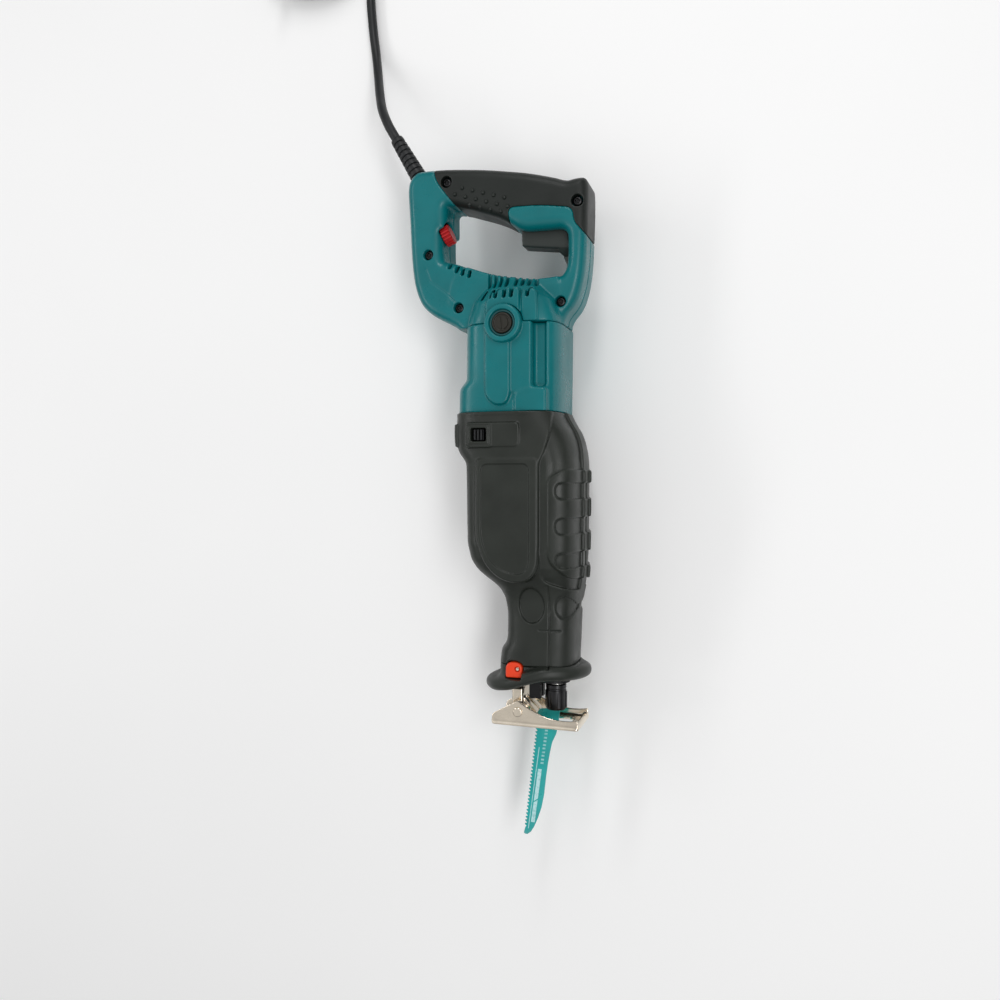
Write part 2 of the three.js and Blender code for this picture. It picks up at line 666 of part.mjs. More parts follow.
function addHousings() {
  part('gear_housing', gearHousing(), aluminium);
  part('rubber_boot', rubberBoot(), rubber);
  part('nose_flange', noseFlange(), rubber);
  const cover = cut(
    solid(loft(housingSections(BOOT_START + 0.2, 222.3, RUBBER + GAP))),
    solid(rod('x', 200, 230, 13.3, [MOTOR_Y, 0], 28)),
    ...housingScrews.map(([y, z]) => solid(rod('x', 200, 236, 2.3, [y, z], 8))),
  );
  part('gear_housing_cover', cover, aluminium);
  housingScrews.forEach(([y, z], i) => {
    part(`housing_screw_${i + 1}`, rod('x', 206, 234, 2, [y, z], 10), steel);
  });
  const ribs = Array.from({ length: 3 }, (_, i) => {
    const y = -28 + i * 2.8;
    return solid(block(228.4, 236.9, y, y + 1.6, 44, 48));
  });
  const lever = join(solid(block(228, 237.3, -28.4, -20.4, 36, 45.5)), ...ribs);
  part('orbit_selector', lever, blackPlastic);
  part('shoe_release', buttonPlate(0, 14, 31.5, 0.8), orange);
}

// ---- Crank drive --------------------------------------------------------------------------------
const GEAR_UNDER = MOTOR_Y + PINION_PITCH_R + 1.35;

function crankGear() {
  const teeth = Array.from({ length: GEAR_TEETH }, (_, i) => {
    const bar = block(31, 37.2, GEAR_UNDER - 2.5, GEAR_UNDER + 1, -0.85, 0.85);
    return solid(bar.rotateY((2 * Math.PI * i) / GEAR_TEETH).translate(CRANK_X, 0, 0));
  });
  const disc = solid(rod('y', GEAR_UNDER, GEAR_UNDER + 7.8, 37.5, [CRANK_X, 0], 48));
  return cut(join(disc, ...teeth), solid(rod('y', -20, 40, 7.3, [CRANK_X, 0])));
}

function addDrive() {
  const top = GEAR_UNDER + 7.8;
  const pinZ = Math.sqrt(CRANK_THROW ** 2 - STROKE_NOW ** 2);
  const pinX = CRANK_X + STROKE_NOW;
  part('crank_gear', crankGear(), steel);
  part('crank_shaft', rod('y', -33.5, top, 7, [CRANK_X, 0]), steel);
  part('crank_pin', rod('y', top + GAP, 22, 5.5, [pinX, pinZ]), steel);
  part('crank_bearing_upper', collar('y', -18.2, -10.2, 7.3, 15, [CRANK_X, 0]), steel);
  part('crank_bearing_lower', collar('y', -33.5, -26, 7.3, 12, [CRANK_X, 0]), steel);
  const weightOutline = outline([
    [264, -31, 2],
    [322, -31, 12],
    [330, 0, 0],
    [322, 31, 12],
    [264, 31, 2],
  ]);
  const fork = outline([[250, -9.7], [298, -9.7, 4], [302, 0], [298, 9.7, 4], [250, 9.7]]);
  const weight = cut(solid(plateAcross(weightOutline, -9, 1.2)), solid(plateAcross(fork, -20, 20)));
  part('counterweight', weight, laminations);
}

// ---- Plunger, clamp and blade -------------------------------------------------------------------
const bladeOutline = outline([
  [441, PLUNGER_Y - 6.35, 1],
  [465.6, PLUNGER_Y - 6.35, 0],
  [466.5, 14, 2],
  [471, 13.3, 0],
  [575.5, 2.4, 1],
  [577, 3.6, 1.5],
  [571, 9, 4],
  [562, 12, 4],
  [552, 15.6, 4],
  [541, 17.6, 3],
  [516, 20.4, 5],
  [498, 24, 5],
  [490, 29.5, 4],
  [480, 31.2, 4],
  [466.5, 33, 2],
  [465.6, PLUNGER_Y + 6.35, 0],
  [441, PLUNGER_Y + 6.35, 1],
]);

function addPlunger() {
  const yokeX = CRANK_X + STROKE_NOW;
  const yoke = cut(
    solid(block(yokeX - 12, yokeX + 12, 22.4, 36.2, -27, 27)),
    solid(block(yokeX - 6.8, yokeX + 6.8, 20, 40, -23, 23)),
  );
  const bar = cut(
    join(yoke, solid(rod('x', yokeX + 11, 462, 7, [PLUNGER_Y, 0], 24))),
    solid(block(440.5, 470, 0, 60, -1, 1)),
    solid(rod('z', -20, 20, 2.3, [451, PLUNGER_Y])),
  );
  part('plunger', bar, steel);
  part('clamp_pin', rod('z', -5.4, 5.4, 2, [451, PLUNGER_Y]), steel);
  part('clamp_sleeve', collar('x', 443, 465, 7.4, 8.8, [PLUNGER_Y, 0]), blackMetal);
  const hole = solid(rod('z', -5, 5, 2.4, [451, PLUNGER_Y]));
  part('blade', cut(solid(plate(bladeOutline, -0.7, 0.7)), hole), bladePaint);
  const trunnions = solid(rod('z', -25.5, 25.5, 4, [357, PLUNGER_Y]));
  const bore = solid(rod('x', 340, 420, 7.4, [PLUNGER_Y, 0], 24));
  const sleeve = join(solid(rod('x', 350, 407.6, 10.2, [PLUNGER_Y, 0], 24)), trunnions);
  part('guide_sleeve', sleeve.subtract(bore), steel);
  part('dust_seal', collar('x', 408, 411, 7.5, 10.6, [PLUNGER_Y, 0]), rubber);
}

// ---- Shoe ---------------------------------------------------------------------------------------
const EAR = { inner: 19.3, outer: 21.3 };
const SHOE_FACE = 477;
const earOutline = outline([
  [SHOE_FACE - 1, -20.5, 1],
  [SHOE_FACE - 1, 52.5, 1],
  [468.5, 52.5, 1],
  [469.6, 37, 8],
  [467.5, 25, 8],
  [462, 12, 8],
  [455.4, 1.8, 6],
  [468, -21.5, 2],
]);

function addShoe() {
  const pivot = [SHOE_PIVOT.x, SHOE_PIVOT.y];
  const thick = EAR.outer - EAR.inner;
  const ears = [EAR.inner, -EAR.outer].map((z) => solid(plate(earOutline, z, z + thick)));
  const face = solid(block(SHOE_FACE - 2.5, SHOE_FACE, -20.5, 52.5, -EAR.outer, EAR.outer));
  const windowHole = solid(block(460, 490, -2, 43, -10.5, 10.5));
  part('shoe', cut(join(face, ...ears), windowHole, solid(rod('z', -40, 40, 2.8, pivot))), nickel);
  const bar = block(386, 456, -3.8, 1.8, -8.8, 8.8);
  const knuckle = rod('z', -18.8, 18.8, 6, pivot);
  const neck = block(447, 461, -7, 3, -12, 12);
  const tab = place(block(0, 19, 0, 2.2, -9, 9).rotateZ(Math.PI / 4), 455.5, 0.5, 0);
  const arm = cut(
    join(...[bar, knuckle, neck, tab].map((g) => solid(g))),
    solid(rod('z', -40, 40, 2.8, pivot)),
    solid(block(450, 480, 3.4, 30, -2.5, 2.5)),
  );
  part('shoe_arm', arm, nickel);
  const pin = [[0, 0], [4, 0], [4, 1], [2.5, 1], [2.5, 44.4], [4, 44.4], [4, 45.4], [0, 45.4]];
  const profile = pin.map(([r, h]) => new THREE.Vector2(r, h));
  const pinShape = new THREE.LatheGeometry(profile, 20).rotateX(Math.PI / 2);
  part('shoe_pin', pinShape, nickel).position.set(SHOE_PIVOT.x, SHOE_PIVOT.y, -22.7);
}

// ---- Cord ---------------------------------------------------------------------------------------
const FLOOR = -SIDE;
const TIE = 1.5; // the strap under the coil
const COIL_BASE = FLOOR + TIE;
const coilRadius = {
  inner: COIL.turn - 1.5 * COIL.layer - 0.2,
  outer: COIL.turn + 1.5 * COIL.layer + 0.2,
};

function tube(points, radius, steps) {
  const curve = new THREE.CatmullRomCurve3(points, false, 'centripetal');
  const ring = Array.from({ length: 10 }, (_, i) => polar(radius, (2 * Math.PI * i) / 10));
  const section = new THREE.Shape(ring);
  return new THREE.ExtrudeGeometry(section, { extrudePath: curve, steps, bevelEnabled: false });
}

function addCord() {
  const along = (distance) => guardBase.clone().addScaledVector(cordDirection, distance);
  const sleeve = new THREE.CylinderGeometry(5.7, 7.8, GUARD_LENGTH, 20);
  const guard = cut(
    solid(alongCord(sleeve.translate(0, GUARD_LENGTH / 2, 0))),
    solid(alongCord(new THREE.CylinderGeometry(4.6, 4.6, 3 * GUARD_LENGTH, 16))),
  );
  part('cord_guard', guard, blackPlastic, cordGroup);
  const floorLevel = FLOOR + CORD_R + 0.2;
  const firstTurn = COIL_BASE + CORD_R;
  const edge = COIL.y + COIL.turn + COIL.layer;
  const route = [
    along(GUARD_LENGTH + 1),
    along(GUARD_LENGTH + 14),
    new THREE.Vector3(-66, -135.5, -7),
    new THREE.Vector3(-88, -145, -21),
    new THREE.Vector3(-112, -153, -34),
    new THREE.Vector3(-136, -159, -42),
    new THREE.Vector3(-160, -163, floorLevel),
    new THREE.Vector3(-190, edge, floorLevel),
    new THREE.Vector3(-225, edge, floorLevel),
    new THREE.Vector3(COIL.x + 8, edge, firstTurn),
  ];
  const { inner, outer } = coilRadius;
  const height = 3 * COIL.layer + 0.2;
  const top = COIL_BASE + height + GAP;
  const ringSpace = solid(
    collar('z', COIL_BASE - 1, top, inner - 20, outer + GAP, [COIL.x, COIL.y], 48),
  );
  part('cord_run', cut(solid(tube(route, CORD_R, 50)), ringSpace), blackPlastic, cordGroup);
  const coil = collar('z', COIL_BASE, COIL_BASE + height, inner, outer, [COIL.x, COIL.y], 48);
  part('cord_coil', coil, blackPlastic, cordGroup);
  part('cord_tail', cut(solid(tube(tailRoute(), CORD_R, 24)), ringSpace), blackPlastic, cordGroup);
  addPlug();
  const strap = cut(
    solid(block(inner - 2.4, outer + TIE, -6, 6, FLOOR + 0.1, COIL_BASE + height + TIE)),
    solid(block(inner - 0.9, outer + GAP, -10, 10, COIL_BASE - GAP, COIL_BASE + height + GAP)),
  );
  const tie = geometryOf(strap).rotateZ(-0.6).translate(COIL.x, COIL.y, 0);
  part('cord_tie', tie, blackPlastic, cordGroup);
}

// The last of the cord: it leaves the top of the coil on its outside and comes down to the plug.
const TAIL = { from: 90, to: 222, outward: 24 };
function tailPoint(share) {
  const angle = THREE.MathUtils.degToRad(TAIL.from + (TAIL.to - TAIL.from) * share);
  const spread = COIL.turn + COIL.layer + TAIL.outward * share * share * (3 - 2 * share);
  const top = COIL_BASE + 2.5 * COIL.layer;
  const low = FLOOR + CORD_R + 0.2;
  const down = share < 0.75 ? top + (low - top) * THREE.MathUtils.smoothstep(share, 0, 0.75) : low;
  const up = 8.5 * THREE.MathUtils.smoothstep(share, 0.72, 1);
  const flat = polar(spread, angle);
  return new THREE.Vector3(COIL.x + flat.x, COIL.y + flat.y, down + up);
}
const tailRoute = () => Array.from({ length: 12 }, (_, i) => tailPoint(i / 11));

function addPlug() {
  const end = tailPoint(1);
  const before = tailPoint(0.97);
  const heading = Math.atan2(end.y - before.y, end.x - before.x);
  const sections = [
    { x: 0, y0: -5.6, y1: 5.6, w: 5.6, n: 2 },
    { x: 14, y0: -7, y1: 7, w: 7, n: 2 },
    { x: 17, y0: -13, y1: 13, w: 11, n: 3 },
    { x: 40, y0: -17.5, y1: 17.5, w: 12.4, n: 4 },
    { x: 50, y0: -17.5, y1: 17.5, w: 12.4, n: 4 },
  ];
  const pins = [-9.5, 9.5].map((y) => solid(rod('x', 49, 69, 2.4, [y, 0], 14)));
  const shape = geometryOf(join(solid(loft(sections)), ...pins));
  const plug = shape.translate(1.6, 0, 0).rotateZ(heading).translate(end.x, end.y, end.z);
  part('plug', plug, blackPlastic, cordGroup);
}

addHandle();
addControls();
addMotor();
addHousings();
addDrive();
addPlunger();
addShoe();
addCord();

// The origin: the bottom centre of the saw without its cord.
const box = new THREE.Box3().setFromObject(saw);
const centre = box.getCenter(new THREE.Vector3());
const object = new THREE.Group();
object.position.set(-centre.x, -centre.y, -box.min.z);
object.add(saw, cordGroup);
const root = new THREE.Group();
root.add(object);

export default root;
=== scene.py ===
import functools
import math

import bmesh
import bpy
import numpy as np
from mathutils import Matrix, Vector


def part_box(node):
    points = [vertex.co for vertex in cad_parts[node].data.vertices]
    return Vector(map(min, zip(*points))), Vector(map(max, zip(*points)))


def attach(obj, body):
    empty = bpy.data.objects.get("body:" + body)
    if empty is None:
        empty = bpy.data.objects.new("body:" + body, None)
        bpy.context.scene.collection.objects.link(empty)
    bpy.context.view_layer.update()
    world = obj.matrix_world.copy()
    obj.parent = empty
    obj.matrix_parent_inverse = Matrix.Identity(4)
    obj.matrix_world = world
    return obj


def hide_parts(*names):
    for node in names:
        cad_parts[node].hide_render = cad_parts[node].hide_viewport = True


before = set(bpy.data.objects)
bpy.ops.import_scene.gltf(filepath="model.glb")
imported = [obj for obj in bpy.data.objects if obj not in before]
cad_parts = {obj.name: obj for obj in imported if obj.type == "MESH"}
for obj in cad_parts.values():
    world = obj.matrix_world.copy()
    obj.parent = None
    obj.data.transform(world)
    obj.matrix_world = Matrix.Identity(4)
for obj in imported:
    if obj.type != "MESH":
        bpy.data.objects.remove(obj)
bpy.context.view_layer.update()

import openvdb
from mathutils import Matrix, Vector

MM = 0.001


def centre(node):
    low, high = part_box(node)
    return (Vector(low) + Vector(high)) / 2


# The saw's own axes in millimetres: X from the rear of the handle, Y up in use from 4 mm above the
# motor's axis, Z from the saw's mid-plane. The frame's origin in those axes is found from CAD pieces.
ORIGIN = Vector((
    centre("crank_shaft").x - 290 * MM,
    centre("field_stator").y + 4 * MM,
    centre("field_stator").z,
))
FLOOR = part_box("rubber_boot")[0][2]


def at(x, y, z):
    """A point given in the saw's own axes, in metres in the frame."""
    return ORIGIN + Vector((x, y, z)) * MM


# ---- Camera --------------------------------------------------------------------------------------
TILT, LEAN, DISTANCE, SCALE = math.radians(18), math.radians(1.5), 720, 0.87
AIM = Vector((287, -21, 0))


def camera():
    back = Vector((-math.sin(LEAN), math.cos(LEAN) * math.sin(TILT), math.cos(LEAN) * math.cos(TILT)))
    up = Vector((-1, 0, 0))
    up = (up - up.dot(back) * back).normalized()
    right = up.cross(back)
    data = bpy.data.cameras.new("camera")
    data.sensor_width = 36
    data.lens = 36 * (DISTANCE / SCALE) / 1000
    data.clip_start = 0.01
    made = bpy.data.objects.new("camera", data)
    bpy.context.scene.collection.objects.link(made)
    turn = Matrix((right, up, back)).transposed()
    made.matrix_world = Matrix.Translation(at(*(AIM + DISTANCE * back))) @ turn.to_4x4()
    bpy.context.scene.camera = made


camera()


# ---- Materials -----------------------------------------------------------------------------------
class Nodes:
    """A short way to write a node tree."""

    def __init__(self, name):
        self.material = bpy.data.materials.new(name)
        self.material.use_nodes = True
        self.tree = self.material.node_tree
        self.shader = self.tree.nodes["Principled BSDF"]
        self.where = self.add("ShaderNodeTexCoord").outputs["Object"]

    def add(self, kind, **values):
        node = self.tree.nodes.new(kind)
        for key, value in values.items():
            setattr(node, key, value)
        return node

    def link(self, source, target):
        if hasattr(source, "links"):
            self.tree.links.new(source, target)
        else:
            target.default_value = source
        return self

    def noise(self, scale, detail=3, rough=0.5, stretch=None):
        node = self.add("ShaderNodeTexNoise")
        node.inputs["Scale"].default_value = scale
        node.inputs["Detail"].default_value = detail
        node.inputs["Roughness"].default_value = rough
        where = self.where
        if stretch:
            mapping = self.add("ShaderNodeMapping")
            mapping.inputs["Scale"].default_value = stretch
            self.link(where, mapping.inputs["Vector"])
            where = mapping.outputs["Vector"]
        self.link(where, node.inputs["Vector"])
        return node.outputs["Fac"]

    def ramp(self, fac, *stops):
        node = self.add("ShaderNodeValToRGB")
        elements = node.color_ramp.elements
        while len(elements) < len(stops):
            elements.new(0.5)
        for element, (place, colour) in zip(elements, stops):
            element.position = place
            element.color = (*colour, 1) if isinstance(colour, tuple) else (colour, colour, colour, 1)
        self.link(fac, node.inputs["Fac"])
        return node.outputs["Color"]

    def mix(self, fac, a, b):
        node = self.add("ShaderNodeMix", data_type="RGBA")
        self.link(fac, node.inputs[0])
        for value, place in ((a, 6), (b, 7)):
            self.link((*value, 1) if isinstance(value, tuple) else value, node.inputs[place])
        return node.outputs[2]

    def math(self, kind, a, b=0.0):
        node = self.add("ShaderNodeMath", operation=kind)
        self.link(a, node.inputs[0])
        self.link(b, node.inputs[1])
        return node.outputs[0]

    def bump(self, height, distance, strength=1.0, after=None):
        node = self.add("ShaderNodeBump")
        node.inputs["Distance"].default_value = distance
        node.inputs["Strength"].default_value = strength
        self.link(height, node.inputs["Height"])
        if after is not None:
            self.link(after, node.inputs["Normal"])
        return node.outputs["Normal"]

    def finish(self, colour, rough, metal=0.0, normal=None, **more):
        inputs = self.shader.inputs
        self.link((*colour, 1) if isinstance(colour, tuple) else colour, inputs["Base Color"])
        self.link(rough, inputs["Roughness"])
        inputs["Metallic"].default_value = metal
        if normal is not None:
            self.link(normal, inputs["Normal"])
        if not metal:
            inputs["Specular IOR Level"].default_value = 0.4
        for key, value in more.items():
            inputs[key].default_value = value
        return self.material


def scaled(colour, k):
    return tuple(min(1.0, c * k) for c in colour)


def moulded(name, colour, rough=0.42, grain=0.00004, worn=1.35, scale=1400):
    """Injection-moulded plastic: spark-eroded grain, slight mottling, paler on worn edges."""
    n = Nodes(name)
    mottle = n.ramp(n.noise(28, 4, 0.6), (0.3, scaled(colour, 0.9)), (0.7, scaled(colour, 1.08)))
    edge = n.add("ShaderNodeNewGeometry").outputs["Pointiness"]
    wear = n.math("MULTIPLY", n.ramp(edge, (0.53, 0.0), (0.6, 1.0)), n.ramp(n.noise(170, 4), (0.45, 0.0),
        (0.75, 0.25)))
    tint = n.mix(wear, mottle, scaled(colour, worn))
    # painted shade: hollows and creases are darkened towards a darker copy of the colour
    painted_crease_shade = n.ramp(edge, (0.42, 1.0), (0.48, 0.0))
    tint = n.mix(n.math("MULTIPLY", painted_crease_shade, 0.35), tint, scaled(colour, 0.45))
    spread = n.ramp(n.noise(60, 5), (0.3, rough - 0.06), (0.7, rough + 0.09))
    fine = n.bump(n.noise(scale, 2), grain, 0.6)
    normal = n.bump(n.noise(scale * 0.13, 3), grain * 2.2, 0.35, fine)
    return n.finish(tint, spread, 0.0, normal)


def elastomer(name, colour, rough=0.62, grain=0.00007):
    """Soft overmould: fine leathery grain, painted shade in the low places and a painted highlight on the
    high ones.
    """
    n = Nodes(name)
    base = n.ramp(n.noise(22, 5, 0.62), (0.28, scaled(colour, 0.82)), (0.72, scaled(colour, 1.22)))
    edge = n.add("ShaderNodeNewGeometry").outputs["Pointiness"]
    # painted highlight: the high edges are lightened towards a paler copy of the colour
    painted_edge_highlight = n.math("MULTIPLY", n.ramp(edge, (0.51, 0.0), (0.58, 1.0)), 0.7)
    base = n.mix(painted_edge_highlight, base, scaled(colour, 1.75))
    # painted shade: the low places are darkened towards a darker copy of the colour
    low = n.math("MULTIPLY", n.ramp(edge, (0.43, 1.0), (0.49, 0.0)), 0.5)
    base = n.mix(low, base, scaled(colour, 0.5))
    sheen = n.ramp(n.noise(45, 4), (0.3, rough - 0.08), (0.7, rough + 0.1))
    cells = n.add("ShaderNodeTexVoronoi")
    cells.inputs["Scale"].default_value = 900
    n.link(n.where, cells.inputs["Vector"])
    grainy = n.bump(cells.outputs["Distance"], grain, 0.45)
    normal = n.bump(n.noise(300, 3), grain * 1.6, 0.4, grainy)
    return n.finish(base, sheen, 0.0, normal)


def metal(name, colour, rough=0.3, stretch=None, corner_shade_amount=0.35, grain=0.00002, scale=500, wave=0.0):
    """Machined or plated metal: directional scratches, smudges and painted shade in the corners."""
    n = Nodes(name)
    scratches = n.noise(scale, 4, 0.65, stretch)
    smudge = n.noise(38, 5, 0.6)
    edge = n.add("ShaderNodeNewGeometry").outputs["Pointiness"]
    base = n.ramp(smudge, (0.3, scaled(colour, 0.86)), (0.68, scaled(colour, 1.06)))
    # painted shade: corners and hollows are darkened towards a darker copy of the colour, by the given amount
    painted_corner_shade = n.math("MULTIPLY", n.ramp(edge, (0.4, 1.0), (0.49, 0.0)), corner_shade_amount)
    base = n.mix(painted_corner_shade, base, scaled(colour, 0.28))
    spread = n.ramp(scratches, (0.25, max(0.05, rough - 0.1)), (0.75, rough + 0.14))
    normal = n.bump(scratches, grain, 0.5)
    if wave:
        normal = n.bump(n.noise(34, 1), wave, 0.8, normal)
    return n.finish(base, spread, 1.0, normal)


TEAL = moulded("teal_plastic", (0.0, 0.155, 0.170), 0.30, worn=1.2)
RUBBER = elastomer("grip_elastomer", (0.0078, 0.0108, 0.0090), 0.44)
BOOT_RUBBER = elastomer("boot_elastomer", (0.0165, 0.0200, 0.0160), 0.42)
BLACK = moulded("black_plastic", (0.010, 0.011, 0.012), 0.42, worn=2.4)
LEAD = elastomer("lead_rubber", (0.008, 0.009, 0.010), 0.45, 0.00004)
GREY = moulded("trigger_plastic", (0.030, 0.036, 0.033), 0.42, worn=1.5)
RED = moulded("red_plastic", (0.47, 0.012, 0.014), 0.36, worn=1.3)
ORANGE = moulded("orange_plastic", (0.83, 0.055, 0.012), 0.34, worn=1.2)
BLACK_STEEL = metal("black_oxide", (0.045, 0.045, 0.047), 0.34, corner_shade_amount=0.2)
STEEL = metal("ground_steel", (0.56, 0.55, 0.53), 0.28, (1, 12, 1))
PLATED = metal("plated_steel", (0.92, 0.82, 0.68), 0.12, (9, 1, 1), 0.75, wave=0.0011)
ALUMINIUM = metal("cast_aluminium", (0.55, 0.56, 0.57), 0.5, None, 0.4, 0.00015, 260)
CASE = metal("black_cast_case", (0.035, 0.036, 0.037), 0.5, None, 0.3, 0.00015, 260)
LAMINATED = metal("laminated_steel", (0.26, 0.27, 0.28), 0.42, (30, 1, 1))
COPPER = metal("copper_bars", (0.75, 0.38, 0.22), 0.3, (1, 10, 10))
CARBON = moulded("brush_carbon", (0.02, 0.02, 0.02), 0.55, worn=2.0)


def put(piece, body, material, slot, *replaced):
    """Gives a piece its material and body, and hides the CAD nodes it stands for. The slot is not used."""
    piece.data.materials.clear()
    piece.data.materials.append(material)
    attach(piece, body)
    if replaced:
        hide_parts(*replaced)
    return piece


# ---- Shapes as distance fields -------------------------------------------------------------------
def cubic_outline(corners, steps=6):
    """Corners given as (x, y, radius) become a closed outline with rounded corners."""
    points = []
    count = len(corners)
    for i, (x, y, radius) in enumerate(corners):
        here = np.array((x, y), float)
        if radius <= 0:
            points.append(here)
            continue
        before = np.array(corners[i - 1][:2], float) - here
        after = np.array(corners[(i + 1) % count][:2], float) - here
        start = here + before * min(radius / np.linalg.norm(before), 0.46)
        end = here + after * min(radius / np.linalg.norm(after), 0.46)
        for k in range(steps + 1):
            t = k / steps
            points.append((1 - t) ** 2 * start + 2 * t * (1 - t) * here + t * t * end)
    return np.array(points)


def flat_distance(u, v, points):
    """Signed distance to a closed outline in a plane."""
    shape = np.broadcast(u, v).shape
    best = np.full(shape, 1e9, np.float32)
    inside = np.zeros(shape, bool)
    for a, b in zip(points, np.roll(points, -1, 0)):
        ex, ey = float(b[0] - a[0]), float(b[1] - a[1])
        wu, wv = u - float(a[0]), v - float(a[1])
        t = np.clip((wu * ex + wv * ey) / (ex * ex + ey * ey + 1e-12), 0, 1)
        best = np.minimum(best, (wu - ex * t) ** 2 + (wv - ey * t) ** 2)
        if ey:
            inside ^= ((float(a[1]) > v) != (float(b[1]) > v)) & (u < ex * (v - float(a[1])) / ey
                + float(a[0]))
    return np.sqrt(best) * np.where(inside, -1, 1).astype(np.float32)


def prism(flat, w, low, high, r=0.0):
    """An outline's field extruded from low to high, with its edges rounded by r."""
    a = flat + r
    b = np.abs(w - (low + high) / 2) - (high - low) / 2 + r
    return np.minimum(np.maximum(a, b), 0) + np.hypot(np.maximum(a, 0), np.maximum(b, 0)) - r


def box3(f, x0, x1, y0, y1, z0, z1, r=0.0):
    q = [np.abs(c - (a + b) / 2) - (b - a) / 2 + r for c, a, b in ((f.x, x0, x1), (f.y, y0, y1),
        (f.z, z0, z1))]
    outside = np.sqrt(sum(np.maximum(c, 0) ** 2 for c in q))
    return outside + np.minimum(overlap(q[0], q[1], q[2]), 0) - r


def smooth_min(a, b, k):
    h = np.clip(0.5 + 0.5 * (b - a) / k, 0, 1)
    return b + (a - b) * h - k * h * (1 - h)


def smooth_max(a, b, k):
    return -smooth_min(-a, -b, k)


def overlap(*fields):
    """What all of the shapes share, with sharp edges."""
    return functools.reduce(np.maximum, fields)


def carve(body, tool, k):
    """Takes a tool's shape out of a body, with the edge softened over k."""
    return smooth_max(body, -tool, k)


def capsule(f, points, r):
    """The distance, in the side view, to a line through points, r wide each way."""
    best = np.full(np.broadcast(f.x, f.y).shape, 99, np.float32)
    for a, b in zip(points, points[1:]):
        e = np.subtract(b, a).astype(float)
        t = np.clip(((f.x - a[0]) * e[0] + (f.y - a[1]) * e[1]) / (e @ e), 0, 1)
        best = np.minimum(best, np.hypot(f.x - a[0] - t * e[0], f.y - a[1] - t * e[1]))
    return best - r


class Field:
    """A regular grid in the saw's own axes, in millimetres."""

    def __init__(self, low, high, step):
        self.low, self.step = low, step
        axes = [np.arange(a, b + step, step, dtype=np.float32) for a, b in zip(low, high)]
        self.x, self.y, self.z = axes[0][:, None, None], axes[1][None, :, None], axes[2][None, None, :]
        self.shape = tuple(len(a) for a in axes)

    def loft(self, table, smooth=2.0):
        """Superellipse sections along X: rows of x, y0, y1, half width, power."""
        x = self.x[:, 0, 0]
        pad = int(4 * smooth / self.step) + 1
        wide = np.concatenate([x[0] - self.step * np.arange(pad, 0, -1), x, x[-1] + self.step * np.arange(1,
            pad + 1)])
        kernel = np.exp(-0.5 * (np.arange(-pad, pad + 1) * self.step / max(smooth, 0.01)) ** 2)
        kernel /= kernel.sum()
        stations = [row[0] for row in table]
        y0, y1, w, n = (
            np.convolve(np.interp(wide, stations, [row[i] for row in table]), kernel,
            "valid").astype(np.float32)[:, None, None]
            for i in (1, 2, 3, 4)
        )
        dy, dz = self.y - (y0 + y1) / 2, self.z
        size = ((np.abs(dy) * 2 / (y1 - y0)) ** n + (np.abs(dz) / w) ** n) ** (1 / n)
        return np.hypot(dy, dz) * (1 - 1 / np.maximum(size, 1e-3))

    def outline(self, corners, steps=6):
        """Signed distance, in the side view, to an outline with rounded corners."""
        return flat_distance(self.x, self.y, cubic_outline(corners, steps))

    def rod(self, axis, a, b, r, low, high, round_by=0.0):
        """A cylinder along an axis through (a, b)."""
        others = {"x": (self.y, self.z, self.x), "y": (self.x, self.z, self.y),
            "z": (self.x, self.y, self.z)}[axis]
        return prism(np.hypot(others[0] - a, others[1] - b) - r, others[2], low, high, round_by)

    def mesh(self, name, distance, skip=None):
        """The surface where the field is zero, as an object. Faces where skip is near zero are left out."""
        distance = np.broadcast_to(distance, self.shape).astype(np.float32)
        distance = np.pad(distance, 1, constant_values=3 * self.step)
        grid = openvdb.FloatGrid(3 * self.step)
        grid.copyFromArray(np.clip(distance, -3 * self.step, 3 * self.step))
        points, triangles, quads = grid.convertToPolygons(0.0, 0.0)
        points = (points - 1) * self.step + np.array(self.low)
        faces = [tuple(int(i) for i in reversed(face)) for face in (*triangles, *quads)]
        if skip is not None:
            place = np.clip(np.rint((points - np.array(self.low)) / self.step).astype(int), 0,
                np.array(self.shape) - 1)
            near = np.abs(np.broadcast_to(skip, self.shape)[tuple(place.T)]) < 0.8 * self.step
            faces = [face for face in faces if not all(near[i] for i in face)]
        mesh = bpy.data.meshes.new(name)
        mesh.from_pydata([tuple(p * MM + np.array(ORIGIN)) for p in points], [], faces)
        made = bpy.data.objects.new(name, mesh)
        bpy.context.scene.collection.objects.link(made)
        work = bmesh.new()
        work.from_mesh(mesh)
        loose = [v for v in work.verts if not v.link_faces]
        bmesh.ops.delete(work, geom=loose, context="VERTS")
        for _ in range(2):
            bmesh.ops.smooth_vert(work, verts=work.verts, factor=0.5, use_axis_x=True, use_axis_y=True,
                use_axis_z=True)
        bmesh.ops.recalc_face_normals(work, faces=work.faces)
        work.to_mesh(mesh)
        work.free()
        mesh.shade_smooth()
        return made


STEP = 0.75

